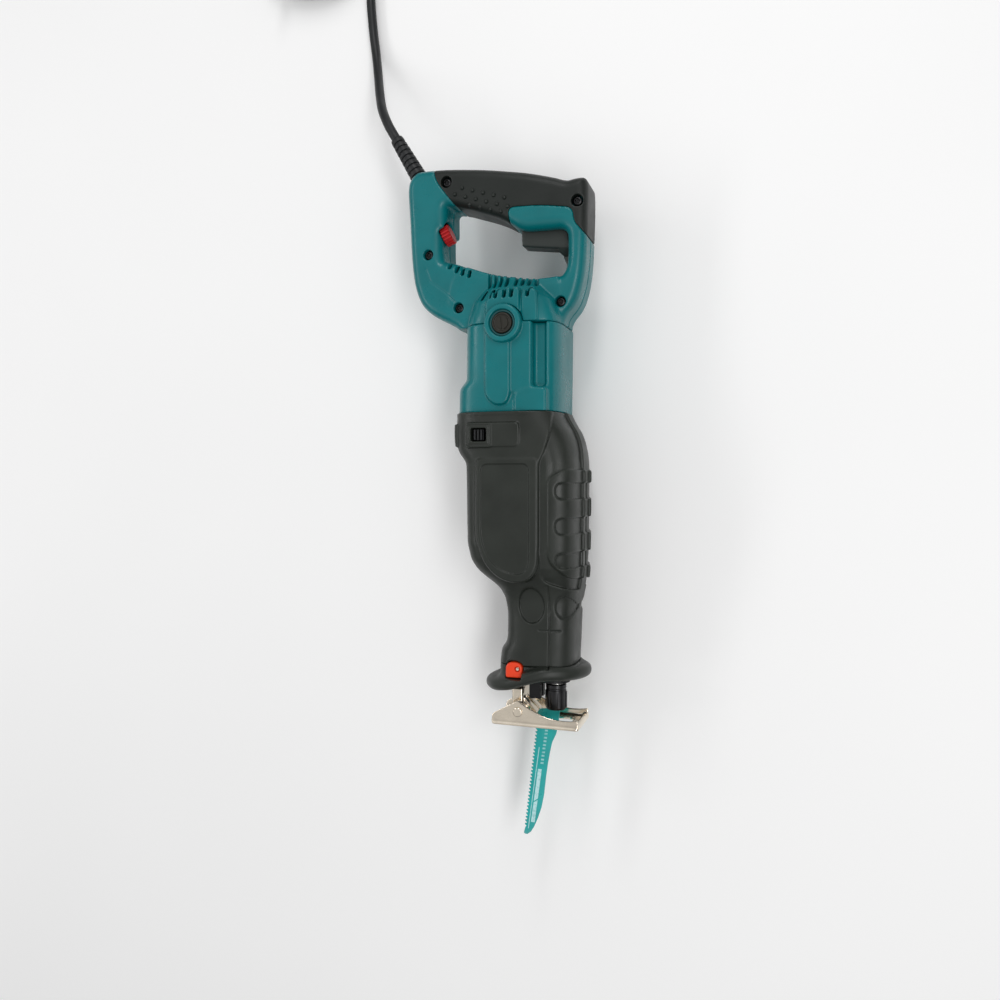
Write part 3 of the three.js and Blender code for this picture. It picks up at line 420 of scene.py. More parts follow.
# ---- D-handle ------------------------------------------------------------------------------------
SEAM = 141.0
HANDLE = cubic_outline([
    (160, -45, 0), (160, 38, 0), (136, 39.5, 8), (124, 51, 18), (100, 57.5, 20), (60, 59.2, 20),
    (38, 59.6, 10), (22.6, 59.2, 11), (22.8, 48, 5), (24.2, 42.5, 5), (19.6, 29.5, 14), (13.9, 9, 20),
    (8.8, -19, 20), (6.4, -34, 20), (3.1, -62, 20), (2.3, -80, 12), (2.5, -92, 14), (12, -100.5, 14),
    (40, -98.6, 20), (78, -96.8, 20), (104, -93.6, 20), (124, -84, 26), (141, -50, 10),
])
OPENING = cubic_outline([
    (35.7, -52.5, 4), (46.2, -21.5, 20), (54.5, -6.5, 10), (61.5, 4, 8), (62, 43, 9), (101.8, 43, 22),
    (103.4, 22, 8), (101.6, 0, 20), (96, -24, 14), (90, -41, 14), (83, -58, 12), (82, -67.5, 12),
    (55.5, -67.5, 3), (55.5, -63.8, 3), (33.6, -63.8, 4),
])
GRIP = cubic_outline([
    (-10, -75, 0), (4.5, -75, 0), (15, -71.3, 6), (38, -54, 4), (46, -49, 0), (62, -49, 0),
    (62, -10, 0), (56, -6.6, 3), (42.8, -6.6, 5), (43.5, 20, 20), (48, 47, 5), (60, 49, 4), (68, 56, 6),
    (77, 66, 0), (-10, 66, 0),
])
HANDLE_SCREWS = [(15.6, -62.3), (42.6, 51.5), (76, -79), (123.1, -51.1), (123.3, 37.9)]
DIAL = (57.5, -65.4, 9.0)
DIAL_TILT = math.radians(22)
BRUSH = (142.6, -4.4)
HANDLE_HALF, WALL, OVERMOULD = 22, 3.2, 2.6


def handle_body(f):
    """The outside of the whole handle, with its wells, vents and creases."""
    hole = flat_distance(f.x, f.y, OPENING)
    flat = np.maximum(flat_distance(f.x, f.y, HANDLE), -hole)
    # the edges are fully rounded, for the hand
    body = prism(flat, f.z, -HANDLE_HALF, HANDLE_HALF, 8.5)
    # the wall below the opening is squarer, and swells into a dome that holds the rear of the motor
    sill = prism(f.outline([(86, -40, 4), (90, 34, 6), (122, 40, 8), (122, -62, 8), (96, -56, 8)]), f.z,
        -HANDLE_HALF, HANDLE_HALF, 2)
    bulge = f.loft([(103, -25, 20, 24.5, 3.0), (108, -28, 24, 29, 3.0), (115, -33, 29, 34.6, 3.2),
        (121, -37.2, 34.5, 37.8, 3.6),
                    (135, -41, 38.4, 39.6, 4.0), (150, -43, 39.8, 40, 4.2)], 1.2)
    bulge = smooth_min(np.maximum(bulge, 97 - f.x), sill, 1.5)
    bulge = carve(bulge, hole, 2.2)
    body = smooth_min(body, bulge, 2.2)
    # the raised bands that run back over the swelling from the motor housing
    for side in (1, -1):
        w = f.z * side
        band = prism(f.outline([(116, 10, 4), (114, 22.5, 7), (150, 23.5, 0), (150, 10, 0)]), w, 20, 40.6,
            1.4)
        body = smooth_min(body, band, 1.6)
        tower = f.outline([(118, -18, 7), (113.5, -6, 8), (113.5, 8.5, 3), (150, 8.5, 0), (150, -19, 0),
            (128, -21, 6)])
        body = smooth_min(body, prism(tower, w, 20, 41.6, 1.6), 1.4)
        dish = f.rod("z", *BRUSH, 15.9, 24 if side > 0 else -80, 80 if side > 0 else -24)
        body = np.maximum(body, -dish)
    body = np.maximum(body, f.x - SEAM)
    # a crease from the dial recess down to the lower screw
    crease = capsule(f, [(88, -81), (99, -77), (107, -66), (112, -60), (118, -54)], 0.5)
    body = carve(body, np.maximum(crease, 21.4 - f.z), 0.8)
    # screw wells on the right, vents in two rows and the notches beside them
    for x, y in HANDLE_SCREWS:
        body = carve(body, f.rod("z", x, y, 4.4, 16.8, 60), 0.9)
    for side in (1, -1):
        w = f.z * side
        for y in (-22.6, -17.2, -11.8, -6.4, 1.8, 7.2, 12.6, 18):
            slot = f.outline([(90, y - 1.4, 0), (110.4, y - 1.4, 1.2), (110.4, y + 1.4, 1.2),
                (90, y + 1.4, 0)], 3)
            body = carve(body, prism(slot, w, 17.5, 60), 0.4)
        for i, y in enumerate((-24.6, -16.6, -11.6, -4.2, 1.8, 15.2)):
            lean = -1.6 if i == 0 else -0.5
            slot = f.outline([(112.4, y - 1.6 - lean, 1.2), (121.5, y - 1.6 + lean, 1.2),
                              (121.5, y + 1.6 + lean, 1.2), (112.4, y + 1.6 - lean, 1.2)], 3)
            body = carve(body, prism(slot, w, 20, 60), 0.4)
        for x, y in ((86.4, -60.5), (90.2, -54), (93, -48.4), (95.2, -42.4)):
            notch = f.outline([(x - 3, y + 0.4, 0), (x - 3, y + 3.2, 0), (x + 3.2, y + 2, 1),
                (x + 3.2, y - 0.8, 1)], 3)
            body = carve(body, prism(notch, w, 13, 60), 0.5)
    return body


def handle():
    f = Field((-3, -104, -42), (142.5, 64, 42), STEP)
    body = handle_body(f)
    grip = prism(flat_distance(f.x, f.y, GRIP), f.z, -60, 60)
    # dial slot, trigger slot, guard socket
    c, s = math.cos(DIAL_TILT), math.sin(DIAL_TILT)
    u = (f.x - DIAL[0]) * c + (f.y - DIAL[1]) * s
    v = (f.y - DIAL[1]) * c - (f.x - DIAL[0]) * s
    slot = prism(np.hypot(u, f.z - DIAL[2]) - 10.6, v, -4.5, 5.4, 0.6)
    trigger = prism(f.outline([(44, 0, 0), (76, 0, 0), (92, 38, 0), (98, 41, 3), (97, 53.6, 4), (84, 53.6, 4),
                                                            (74, 48, 4), (44, 48, 0)]), f.z, -9.9, 9.9, 0.4)
    u, v = f.x - EXIT.x, f.y - EXIT.y
    along = u * OUT.x + v * OUT.y
    across = np.sqrt(np.maximum(u ** 2 + v ** 2 + f.z ** 2 - along ** 2, 0))
    socket = np.maximum(across - 8.4, -along - 14)
    lock = f.rod("z", 50, 20, 5.5, -60, -12)
    whole = overlap(body, -slot, -trigger, -socket)
    whole = carve(whole, lock, 0.6)
    cavity = body + WALL
    shell = np.maximum(whole, -cavity)
    under = np.maximum(shell, -grip)
    under = np.minimum(under, np.maximum(shell + 1.2, grip))
    for name, side in (("right", 1), ("left", -1)):
        half = smooth_max(under, 0.18 - f.z * side, 0.9)
        piece = f.mesh("handle_shell_" + name, half, cavity)
        put(piece, "housing", TEAL, "teal_shell", "handle_" + name)
    over = smooth_max(np.maximum(body, -(body + OVERMOULD)), grip + 0.35, 1.0)
    for x, y in HANDLE_SCREWS[:2]:
        over = carve(over, f.rod("z", x, y, 4.7, 12, 60), 0.8)
    over = overlap(over, -trigger, -socket)
    over = carve(over, lock, 0.6)
    piece = f.mesh("grip_overmould", over, body + OVERMOULD)
    put(piece, "housing", RUBBER, "elastomer", "grip_cover")
    grip_studs(f, np.broadcast_to(body, f.shape))


STUD_ROWS = ((22.5, -47.7, 5), (27.2, -54.2, 6), (36.5, -41.9, 4))


def grip_studs(f, body):
    """Rows of small round studs on both faces of the grip, each square to the surface under it."""
    levels = f.z[0, 0]

    def surface(x, y):
        column = body[int(round((x - f.low[0]) / f.step)), int(round((y - f.low[1]) / f.step))]
        top = int(np.nonzero(column < 0)[0].max())
        return float(levels[top] + f.step * column[top] / (column[top] - column[top + 1]))

    work = bmesh.new()
    profile = [(0, 1.45), (0.6, 1.36), (1.15, 1.05), (1.6, 0.5), (1.85, -0.1), (1.9, -0.9), (0, -0.9)]
    for x0, y0, count in STUD_ROWS:
        for i in range(count):
            x, y = x0 + 2.95 * i, y0 + 9.4 * i
            lean = ((surface(x - 2, y) - surface(x + 2, y)) / 4, (surface(x, y - 2) - surface(x, y + 2)) / 4)
            for side in (1, -1):
                turned(work, profile, facing((x, y, side * surface(x, y)), (*lean, side)), 20)
    put(mesh_object("grip_studs", work), "housing", RUBBER, "elastomer")


# ---- Motor housing -------------------------------------------------------------------------------
MOTOR_END = 213.6


def motor():
    f = Field((124, -54, -50), (215, 43, 50), STEP)
    body = f.loft([(120, -43, 39.6, 40, 4.2), (186, -43.6, 39.2, 40, 4.2), (193, -50, 39, 40, 4.2),
        (216, -50.6, 38.8, 40, 4.2)], 1.6)
    body = overlap(body, SEAM + 0.3 - f.x, f.x - MOTOR_END)
    for side in (1, -1):
        w = f.z * side
        ridge = prism(f.outline([(140, -20.5, 0), (200, -20.5, 5), (208, -13, 6), (208, -3, 5), (201, 1, 4),
            (140, 1, 0)]), w, 20, 43.6, 1.8)
        band = prism(f.outline([(140, -8, 0), (198, -8, 2), (198, 18.5, 3), (140, 18.5, 0)]), w, 20, 41.4,
            1.6)
        body = smooth_min(body, band, 2.5)
        channel = prism(f.outline([(100, 19, 0), (195, 19, 5), (195, 29.5, 5), (100, 29.5, 0)]), w, 31.5,
            60, 3)
        body = carve(body, channel, 2.0)
        platform = prism(f.outline([(198, 4, 6), (193.5, 18, 5), (195, 31, 3), (216, 31, 0), (216, 4, 0)]),
            w, 20, 41.6, 2.2)
        body = smooth_min(body, platform, 2.0)
        body = smooth_min(body, ridge, 1.6)
        body = np.maximum(body, f.x - MOTOR_END)
    body = np.maximum(body, SEAM + 0.3 - f.x)
    for side in (1, -1):
        w = f.z * side
        radius = np.hypot(f.x - BRUSH[0], f.y - BRUSH[1])
        body = smooth_min(body, prism(radius - 15.5, w, 24.2, 47.8, 1.8), 0.8)
        body = carve(body, prism(radius - 11.0, w, 44.9, 90), 0.8)
        body = np.maximum(body, -prism(radius - 8.9, w, 20, 90))
    cavity = np.hypot(f.y + 4, f.z) - 36.2
    piece = f.mesh("motor_shell", np.maximum(body, -cavity), cavity)
    put(piece, "housing", TEAL, "teal_shell", "motor_housing")


# ---- Rubber boot over the gear housing -----------------------------------------------------------
BOOT = [
    (213.8, -51.4, 41, 46, 3.8), (222, -51.6, 45, 47, 3.9), (230, -51.6, 50.2, 47.5, 4.0),
    (238, -51, 53.2, 47.6, 4.2), (246, -49, 54.6, 47.6, 4.6), (255, -41.4, 55.2, 47.4, 5.0),
    (322, -40.4, 54.8, 47.4, 5.0), (336, -37.6, 54.8, 45.5, 4.8), (344, -33.4, 54.6, 42, 4.5),
    (350, -27.5, 54.2, 39, 4.2), (355, -20.8, 53.8, 36.4, 4.0), (361, -14.8, 52.6, 33.4, 3.8),
    (369, -11.2, 51.2, 31, 3.6), (381, -9.3, 50, 30.2, 3.5), (400, -9.6, 49.4, 30, 3.4),
    (407, -10.6, 49.2, 30, 3.4), (411.5, -15, 49, 30, 3.4), (424, -16.4, 48.4, 30, 3.4),
    (440, -16.4, 48.4, 30, 3.4),
]
# the rubber's own outside over the metal housing: x, y0, y1, half width
CASE_SECTIONS = [
    (213.8, -51.4, 40, 46), (230, -51.6, 48, 47.5), (244, -50.3, 54.2, 50.3), (256, -41.2, 55.8, 50.3),
    (326, -40.2, 55.6, 50.3), (341, -35.5, 55.4, 45.5), (348.5, -30, 55, 41.5), (355, -20.5, 54.2, 37),
    (361, -14.4, 52.6, 34), (369, -11, 51, 31), (381, -9.3, 50, 30), (405, -10, 49.2, 30),
    (424, -14.4, 48.4, 30),
]
PANEL = [
    (251, -27, 6), (251, 26.5, 5), (340, 26.5, 10), (352, 18, 10), (353.5, 4, 12), (349, -9, 12),
    (338, -20, 14), (318, -27.5, 16),
]


def boot():
    f = Field((212, -56, -50), (425.5, 60, 50.5), STEP)
    body = f.loft(BOOT, 2.0)
    inner = np.maximum(body + 5.2, np.abs(f.z) - 42)
    # no recess goes deeper than the metal housing under the rubber
    case = f.loft([(x, y0 + 3.3, y1 - 3.3, w - 3.3, 3.4) for x, y0, y1, w in CASE_SECTIONS], 0.4)
    case = np.maximum(case, np.abs(f.z) - 45.2) - 0.6
    panel = f.outline(PANEL)
    inset_panel = f.outline([(256.5, -22.5, 7), (256.5, 18.5, 6), (342, 18.5, 10), (347, 8, 10),
        (340, -12, 14), (320, -22.5, 16)])
    for side in (1, -1):
        w = f.z * side
        # the thick side plate stands proud, with a rolled edge and a shallow field inside it
        body = smooth_min(body, prism(panel, w, 20, 48.45, 3.0), 1.2)
        base = body
        body = carve(body, np.maximum(inset_panel, 47.2 - w), 0.7)
        # beyond the collar's edge the surface drops to a lower shoulder
        shoulder = f.outline([(205, 35.5, 0), (233, 35, 7), (247.5, 30.4, 5), (255.5, 26.6, 4),
            (352, 26.6, 8), (366, 70, 0), (205, 70, 0)])
        body = carve(body, overlap(shoulder, -base - 2.7, 10 - w), 1.0)
        # the finger pad, edged by a groove, with three rounded recesses for fingers
        pad = f.outline([(262.5, 75, 0), (260.5, 46.7, 4), (268, 33.4, 5), (335, 33.4, 6), (349, 46.9, 5),
            (357, 75, 0)])
        raised = smooth_max(smooth_max(body - 2.2, pad, 2.0), -w, 0.5)
        body = smooth_min(body, raised, 1.0)
        worn = body
        for x0, x1 in ((272, 284.8), (300.4, 313.2), (328.6, 341)):
            finger = f.outline([(x0, 39.5, 6), (x0, 70, 0), (x1, 70, 0), (x1, 39.5, 6)])
            body = carve(body, overlap(finger, -worn - 2.0, -w - 1), 1.5)
        # the neck: a rolled step under the side plate, two dished panels and a moulding line
        for middle_x, middle_y, rx, ry, deep in ((373, 16, 14.5, 10.6, 2.4), (374, 43, 9.0, 6.6, 1.6)):
            oval = (np.hypot((f.x - middle_x) / rx, (f.y - middle_y) / ry) - 1) * min(rx, ry)
            body = carve(body, overlap(oval, -worn - deep, 5 - w), 2.2)
        for line, wide in (([(356, 30.8), (376, 31.4), (424, 30.6)], 0.55), ([(393.5, 22), (393.5, 40)],
                0.45)):
            body = carve(body, overlap(capsule(f, line, wide), -worn - 1.2, 8 - w), 0.6)
    body = np.minimum(body, case)
    # right side only: the window of the orbit lever on its pad, and the faint tab beside it
    pad = f.outline([(222.8, -35, 3), (222.8, -12.4, 3), (243, -12.4, 3), (243, -35, 3)])
    body = smooth_min(body, prism(pad, f.z, 38, 49.6, 1.0), 0.8)
    line = np.abs(pad + 2.2) - 0.35
    body = carve(body, np.maximum(line, 48.7 - f.z), 0.5)
    tab = prism(f.outline([(222.8, -14, 0), (222.8, 10.5, 4), (242.5, 10.5, 5), (242.5, -14, 0)]), f.z, 38,
        48.9, 0.8)
    body = smooth_min(body, tab, 1.0)
    bottom = overlap(f.loft(BOOT, 2.0) - 2.1, np.abs(f.x - 232.5) - 9.5, f.y + 30, np.abs(f.z) - 38)
    body = smooth_min(body, bottom, 0.8)
    lip = f.loft([(210, -52.4, 39.2, 47.2, 3.4), (220, -52.4, 39.2, 47.2, 3.4)], 0.5)
    body = smooth_min(body, overlap(lip, 214 - f.x, f.x - 216.6), 0.8)
    body = overlap(body, 213.9 - f.x, f.x - 423.9)
    window = prism(f.outline([(227.3, -30.3, 1.5), (227.3, -17.1, 1.5), (238, -17.1, 1.5),
        (238, -30.3, 1.5)]), f.z, 30, 60)
    body = carve(body, window, 0.6)
    button = prism(flat_distance(f.x, f.y, BUTTON_HOLE), f.z, 6, 60)
    body = np.maximum(body, -button)
    piece = f.mesh("boot_cover", np.maximum(body, -inner), inner)
    put(piece, "housing", BOOT_RUBBER, "elastomer", "rubber_boot")


BUTTON = cubic_outline([(434, -6.1, 1.8), (434, 8.3, 1.8), (421, 8.3, 6.8), (421, -6.1, 6.8)])
BUTTON_HOLE = cubic_outline([(434.7, -6.8, 2), (434.7, 9.0, 2), (420.3, 9.0, 7), (420.3, -6.8, 7)])


def front_guard():
    f = Field((410, -34, -41), (457, 64, 41), STEP * 0.85)
    y, z = f.y - 14, f.z
    # the rim's wave along Y, strongest on the right side
    samples = np.arange(-50, 80, 1.0)
    crests = (-30, -18, -2, 12, 24, 36, 48, 60)
    wave = np.interp(samples, crests, (-1.0, 1.6, 1.8, -0.6, -2.4, -1.6, -1.2, -2.0))
    wave = np.convolve(wave, np.ones(9) / 9, "same")
    wave = np.interp(f.y[0, :, 0], samples, wave).astype(np.float32)[None, :, None]
    mid = 435.2 - 0.2 * y + 0.05 * np.maximum(y, 0) + 0.1 * np.maximum(y - 20, 0)
    mid = mid + wave * np.clip(0.5 + z / 40, 0, 1) - 2.2 * (z / 38) ** 2
    round_to = (np.hypot(y / 45.6, z / 38) - 1) * 40
    across = np.abs(f.x - mid) - 5.6
    edge, flat = round_to + 5, across + 5
    disc = np.minimum(np.maximum(edge, flat), 0) + np.hypot(np.maximum(edge, 0), np.maximum(flat, 0)) - 5
    neck = f.loft(BOOT[-3:], 0.5)
    neck = overlap(neck, 424.2 - f.x, f.x - mid)
    body = smooth_min(disc, neck, 5)
    body = np.maximum(body, -np.maximum(f.loft(BOOT[-3:], 0.5) - 0.35, f.x - 424.2))
    button = prism(flat_distance(f.x, f.y, BUTTON_HOLE), f.z, 6, 60)
    body = carve(body, button, 0.5)
    body = carve(body, overlap(capsule(f, [(420, 31), (441, 30.4)], 0.4), 8 - f.z, f.x - mid + 4), 0.6)
    holes = [
        f.rod("x", 28.4, 0, 14.2, 400, 441.6), box3(f, 400, 441.6, -8.2, 20.4, -13.2, 13.2),
        f.rod("x", 29.6, 0, 11.4, 400, 480), f.rod("x", 27.2, 0, 11.4, 400, 480),
        box3(f, 400, 480, 5.8, 24, -8.6, 8.6), box3(f, 380, 480, -5.4, 3.4, -10.2, 10.2),
        box3(f, 400, 480, 8, 24, -3, 3),
    ]
    for hole in holes:
        body = carve(body, hole, 0.6)
    piece = f.mesh("front_guard", body)
    put(piece, "housing", BOOT_RUBBER, "elastomer", "nose_flange")


# ---- Trigger, dial, buttons ----------------------------------------------------------------------
def trigger():
    f = Field((50, -1, -10), (100, 54, 10), STEP * 0.55)
    side = f.outline([
        (53, 0.8, 1), (72.6, 1.4, 2), (76.2, 20, 8), (78.2, 33.6, 7), (84.5, 37.6, 4), (89.6, 39.8, 1.4),
        (97, 41.5, 4), (96, 51.5, 5), (86, 51.5, 5), (72, 42, 6), (53, 42, 1)])
    body = prism(side, f.z, -9, 9, 1.6)
    # the finger face is dished along its length, and a step runs along it
    for s in (1, -1):
        chamfer = (f.x - 67.6 - 0.13 * f.y) * 0.7 + (f.z * s - 9) * 0.72
        body = smooth_max(body, np.where(f.x < 84, chamfer - 2.0, -9), 1.2)
    dish = np.hypot(f.x - 92.5 - 0.12 * (f.y - 16), f.z * 0.62) - 18.4
    body = smooth_max(body, np.where(f.y < 33, -dish, -9), 1.5)
    body = np.maximum(body, -f.rod("z", 90, 46, 2.4, -20, 20))
    piece = f.mesh("trigger_blade", body)
    put(piece, "trigger", GREY, "trigger_plastic", "trigger")


def mesh_object(name, work, bevel=0.0, segments=2):
    bmesh.ops.recalc_face_normals(work, faces=work.faces)
    mesh = bpy.data.meshes.new(name)
    work.to_mesh(mesh)
    work.free()
    made = bpy.data.objects.new(name, mesh)
    bpy.context.scene.collection.objects.link(made)
    mesh.shade_smooth()
    if bevel:
        modifier = made.modifiers.new("bevel", "BEVEL")
        modifier.width = bevel * MM
        modifier.segments = segments
        modifier.limit_method = "ANGLE"
        modifier.angle_limit = math.radians(32)
        modifier.harden_normals = True
    return made


def skin(work, rings, ends=True):
    """Faces between rings with the same number of points, and over the first and the last."""
    for a, b in zip(rings, rings[1:]):
        for i in range(len(a)):
            j = (i + 1) % len(a)
            work.faces.new((a[i], a[j], b[j], b[i]))
    if ends:
        work.faces.new(rings[0][::-1])
        work.faces.new(rings[-1])


def extruded(work, points, low, high, matrix):
    """A closed outline extruded along local Z, placed by a matrix in the saw's own axes."""
    rings = [[work.verts.new(at(*(matrix @ Vector((p[0], p[1], z))))) for p in points] for z in (low, high)]
    skin(work, rings)


def turned(work, profile, matrix, sides=48):
    """A profile of (radius, height) turned about local Z. It ends on the axis or closes on itself."""
    closed = profile[0] == profile[-1]
    rows = profile[:-1] if closed else profile
    rings = []
    for r, h in rows:
        if r < 1e-6:
            rings.append([work.verts.new(at(*(matrix @ Vector((0, 0, h)))))])
            continue
        rings.append([
            work.verts.new(at(*(matrix @ Vector((r * math.cos(a), r * math.sin(a), h)))))
            for a in (2 * math.pi * i / sides for i in range(sides))
        ])
    pairs = list(zip(rings, rings[1:])) + ([(rings[-1], rings[0])] if closed else [])
    for a, b in pairs:
        for i in range(sides):
            j = (i + 1) % sides
            if len(a) == 1:
                work.faces.new((a[0], b[i], b[j]))
            elif len(b) == 1:
                work.faces.new((a[i], a[j], b[0]))
            else:
                work.faces.new((a[i], a[j], b[j], b[i]))


def turned_piece(name, bevel, profile, matrix, sides=48):
    work = bmesh.new()
    turned(work, profile, matrix, sides)
    return mesh_object(name, work, bevel)


def facing(position, axis, spin=0.0):
    """A matrix that puts local Z along an axis, in the saw's own axes and millimetres."""
    turn = Vector(axis).to_track_quat("Z", "Y").to_matrix().to_4x4()
    return Matrix.Translation(Vector(position)) @ turn @ Matrix.Rotation(spin, 4, "Z")


def dial():
    axis = (-math.sin(DIAL_TILT), math.cos(DIAL_TILT), 0)
    work = bmesh.new()
    ribs = 18
    points = []
    for i in range(ribs):
        for share, r in ((0.0, 8.7), (0.18, 8.7), (0.42, 8.65), (0.5, 7.6), (0.68, 7.4), (0.86, 7.6),
                (0.93, 8.6)):
            a = 2 * math.pi * (i + share) / ribs
            points.append((r * math.cos(a), r * math.sin(a)))
    extruded(work, points, -3.6, 3.6, facing(DIAL, axis))
    piece = mesh_object("dial_wheel", work, 0.45, 2)
    put(piece, "speed_dial", RED, "red_plastic", "speed_dial")
    piece = turned_piece("dial_face", 0.2, [(0, 3.5), (6.2, 3.5), (6.5, 3.8), (6.2, 4.05), (5.2, 3.85),
        (0, 3.85)], facing(DIAL, axis))
    put(piece, "speed_dial", RED, "red_plastic")


def screws():
    for i, (x, y) in enumerate(HANDLE_SCREWS, 1):
        work = bmesh.new()
        turned(work, [(0, 0), (1.9, 0), (1.9, 25.5), (3.9, 26.2), (4.0, 27.4), (3.5, 28.3), (2.6, 28.8),
            (2.1, 28.9), (1.9, 27.2), (0, 26.9)],
               facing((x, y, -9), (0, 0, 1)), 40)
        for a in range(3):
            extruded(work, [(-1.95, -0.28), (1.95, -0.28), (1.95, 0.28), (-1.95, 0.28)], 26.95, 28.0,
                facing((x, y, -9), (0, 0, 1), a * math.pi / 3 + i))
        piece = mesh_object(f"handle_screw_{i}_torx", work, 0.12)
        put(piece, "housing", BLACK_STEEL, "black_steel", f"handle_screw_{i}")


def brush_caps():
    for name, side in (("right", 1), ("left", -1)):
        work = bmesh.new()
        place = facing((*BRUSH, 0), (0, 0, side))
        turned(work, [(0, 41.5), (7.9, 41.5), (8.4, 42), (8.4, 46.6), (7.9, 47.2), (6.9, 47.3), (6.5, 46.7),
            (5.8, 46.4), (0, 46.3)], place, 64)
        piece = mesh_object("brush_cap_" + name + "_body", work, 0.15)
        put(piece, "housing", CAP, "black_plastic", "brush_cap_" + name)
        work = bmesh.new()
        for y in (-1, 1):
            outline = [(5.2 * math.cos(a), y * 0.75 + y * 4.4 * math.sin(a)) for a in (math.pi * k / 14
                for k in range(15))]
            extruded(work, outline if y > 0 else outline[::-1], 46.2, 47.0,
                facing((*BRUSH, 0), (0, 0, side), math.radians(8)))
        piece = mesh_object("brush_cap_" + name + "_slot", work, 0.25)
        put(piece, "housing", CAP, "black_plastic")
        piece = turned_piece("brush_seat_" + name, 0.12, [(8.9, 41.4), (10.7, 41.4), (10.7, 45.6),
            (10.2, 46.1), (9.4, 46.1), (8.9, 45.6), (8.9, 41.4)], place, 64)
        put(piece, "housing", TEAL_PAINTED_SHADE, "teal_shell")


# painted shade: a darker copy of the teal shell for the brush seat ring, which sits down in its recess
TEAL_PAINTED_SHADE = moulded("teal_ring_painted_shade", (0.010, 0.075, 0.08), 0.5)
CAP = moulded("cap_plastic", (0.017, 0.016, 0.011), 0.42, worn=1.9)


def controls():
    work = bmesh.new()
    extruded(work, [(-4.65, -3.9), (4.65, -3.9), (4.65, 3.9), (-4.65, 3.9)], 36, 45.2,
        facing((232.65, -24.4, 0), (0, 0, 1)))
    for i in range(3):
        y = -2.8 + i * 2.8
        extruded(work, [(-4.3, y - 0.75), (4.3, y - 0.75), (4.3, y + 0.75), (-4.3, y + 0.75)], 45.1, 48.0,
            facing((232.65, -24.4, 0), (0, 0, 1)))
    piece = mesh_object("orbit_lever", work, 0.35, 3)
    put(piece, "orbit_selector", BLACK, "black_plastic", "orbit_selector")
    piece = turned_piece("lock_pin", 0.2, [(0, -25), (4.2, -25), (4.8, -24.4), (4.8, -15.6), (3, -15.5),
        (3, -12), (0, -12)], facing((50, 20, 0), (0, 0, 1)), 48)
    put(piece, "lock_button", BLACK, "black_plastic", "lock_button")
    f = Field((419, -8, 12), (436, 10, 33), STEP * 0.4)
    body = prism(flat_distance(f.x, f.y, BUTTON), f.z, 14, 31.4, 1.4)
    well = f.rod("z", 426.6, 4.0, 2.3, 28.6, 60)
    body = carve(body, well, 0.5)
    piece = f.mesh("release_button", body)
    put(piece, "shoe_release", ORANGE, "orange_plastic", "shoe_release")
    piece = turned_piece("release_pin", 0.1, [(0, 26.5), (1.9, 26.5), (1.9, 29.6), (1.3, 30.3), (0, 30.5)],
        facing((426.6, 4.0, 0), (0, 0, 1)), 32)
    put(piece, "shoe_release", PLATED, "shoe_steel")


# ---- Plunger, clamp, blade -----------------------------------------------------------------------
def clamp():
    work = bmesh.new()
    place = facing((0, 29.6, 0), (1, 0, 0))
    turned(work, [(7.4, 443), (8.2, 443), (8.8, 443.8), (8.8, 446.5), (8.45, 447), (8.45, 448),
        (8.8, 448.5), (8.8, 463.6), (8.1, 465), (7.4, 465), (7.4, 443)], place, 72)
    for i in range(6):
        a = 2 * math.pi * i / 6
        extruded(work, [(8.3 * math.cos(a + t), 8.3 * math.sin(a + t)) for t in (-0.16, 0, 0.16)] +
                 [(9.5 * math.cos(a + t), 9.5 * math.sin(a + t)) for t in (0.13, 0, -0.13)], 449.5, 463,
                 place)
    piece = mesh_object("clamp_collar", work, 0.25)
    put(piece, "clamp_sleeve", BLACK_STEEL, "black_steel", "clamp_sleeve")


BLADE_BACK = [
    (466.5, 33.0), (481, 31.2), (487.5, 29.6), (494.6, 26.2), (503, 24.3), (513.3, 22.4), (525.7, 20.7),
    (541, 19.0), (552.3, 16.8), (562.4, 13.4), (570, 10.2), (574.6, 7.4), (577.2, 4.2), (577, 1.9),
]


def blade_points():
    points = [(441, 23.3), (464.6, 23.3), (465.6, 22.4), (466.4, 15.4), (468.5, 13.9)]
    start, end, pitch = (471.0, 13.1), (574.2, 1.1), 3.15
    length = math.dist(start, end)
    ex, ey = (end[0] - start[0]) / length, (end[1] - start[1]) / length
    nx, ny = -ey, ex
    count = int(length / pitch)
    for i in range(count):
        for along, deep in ((0.0, 0.0), (0.22, 0.25), (0.55, 1.6), (0.75, 1.75), (0.93, 0.9)):
            s = (i + along) * pitch
            points.append((start[0] + ex * s + nx * deep, start[1] + ey * s + ny * deep))
    return points + [(576.0, 1.0)] + BLADE_BACK[::-1] + [(465.6, 33.4), (465.0, 35.9), (441, 35.9)]


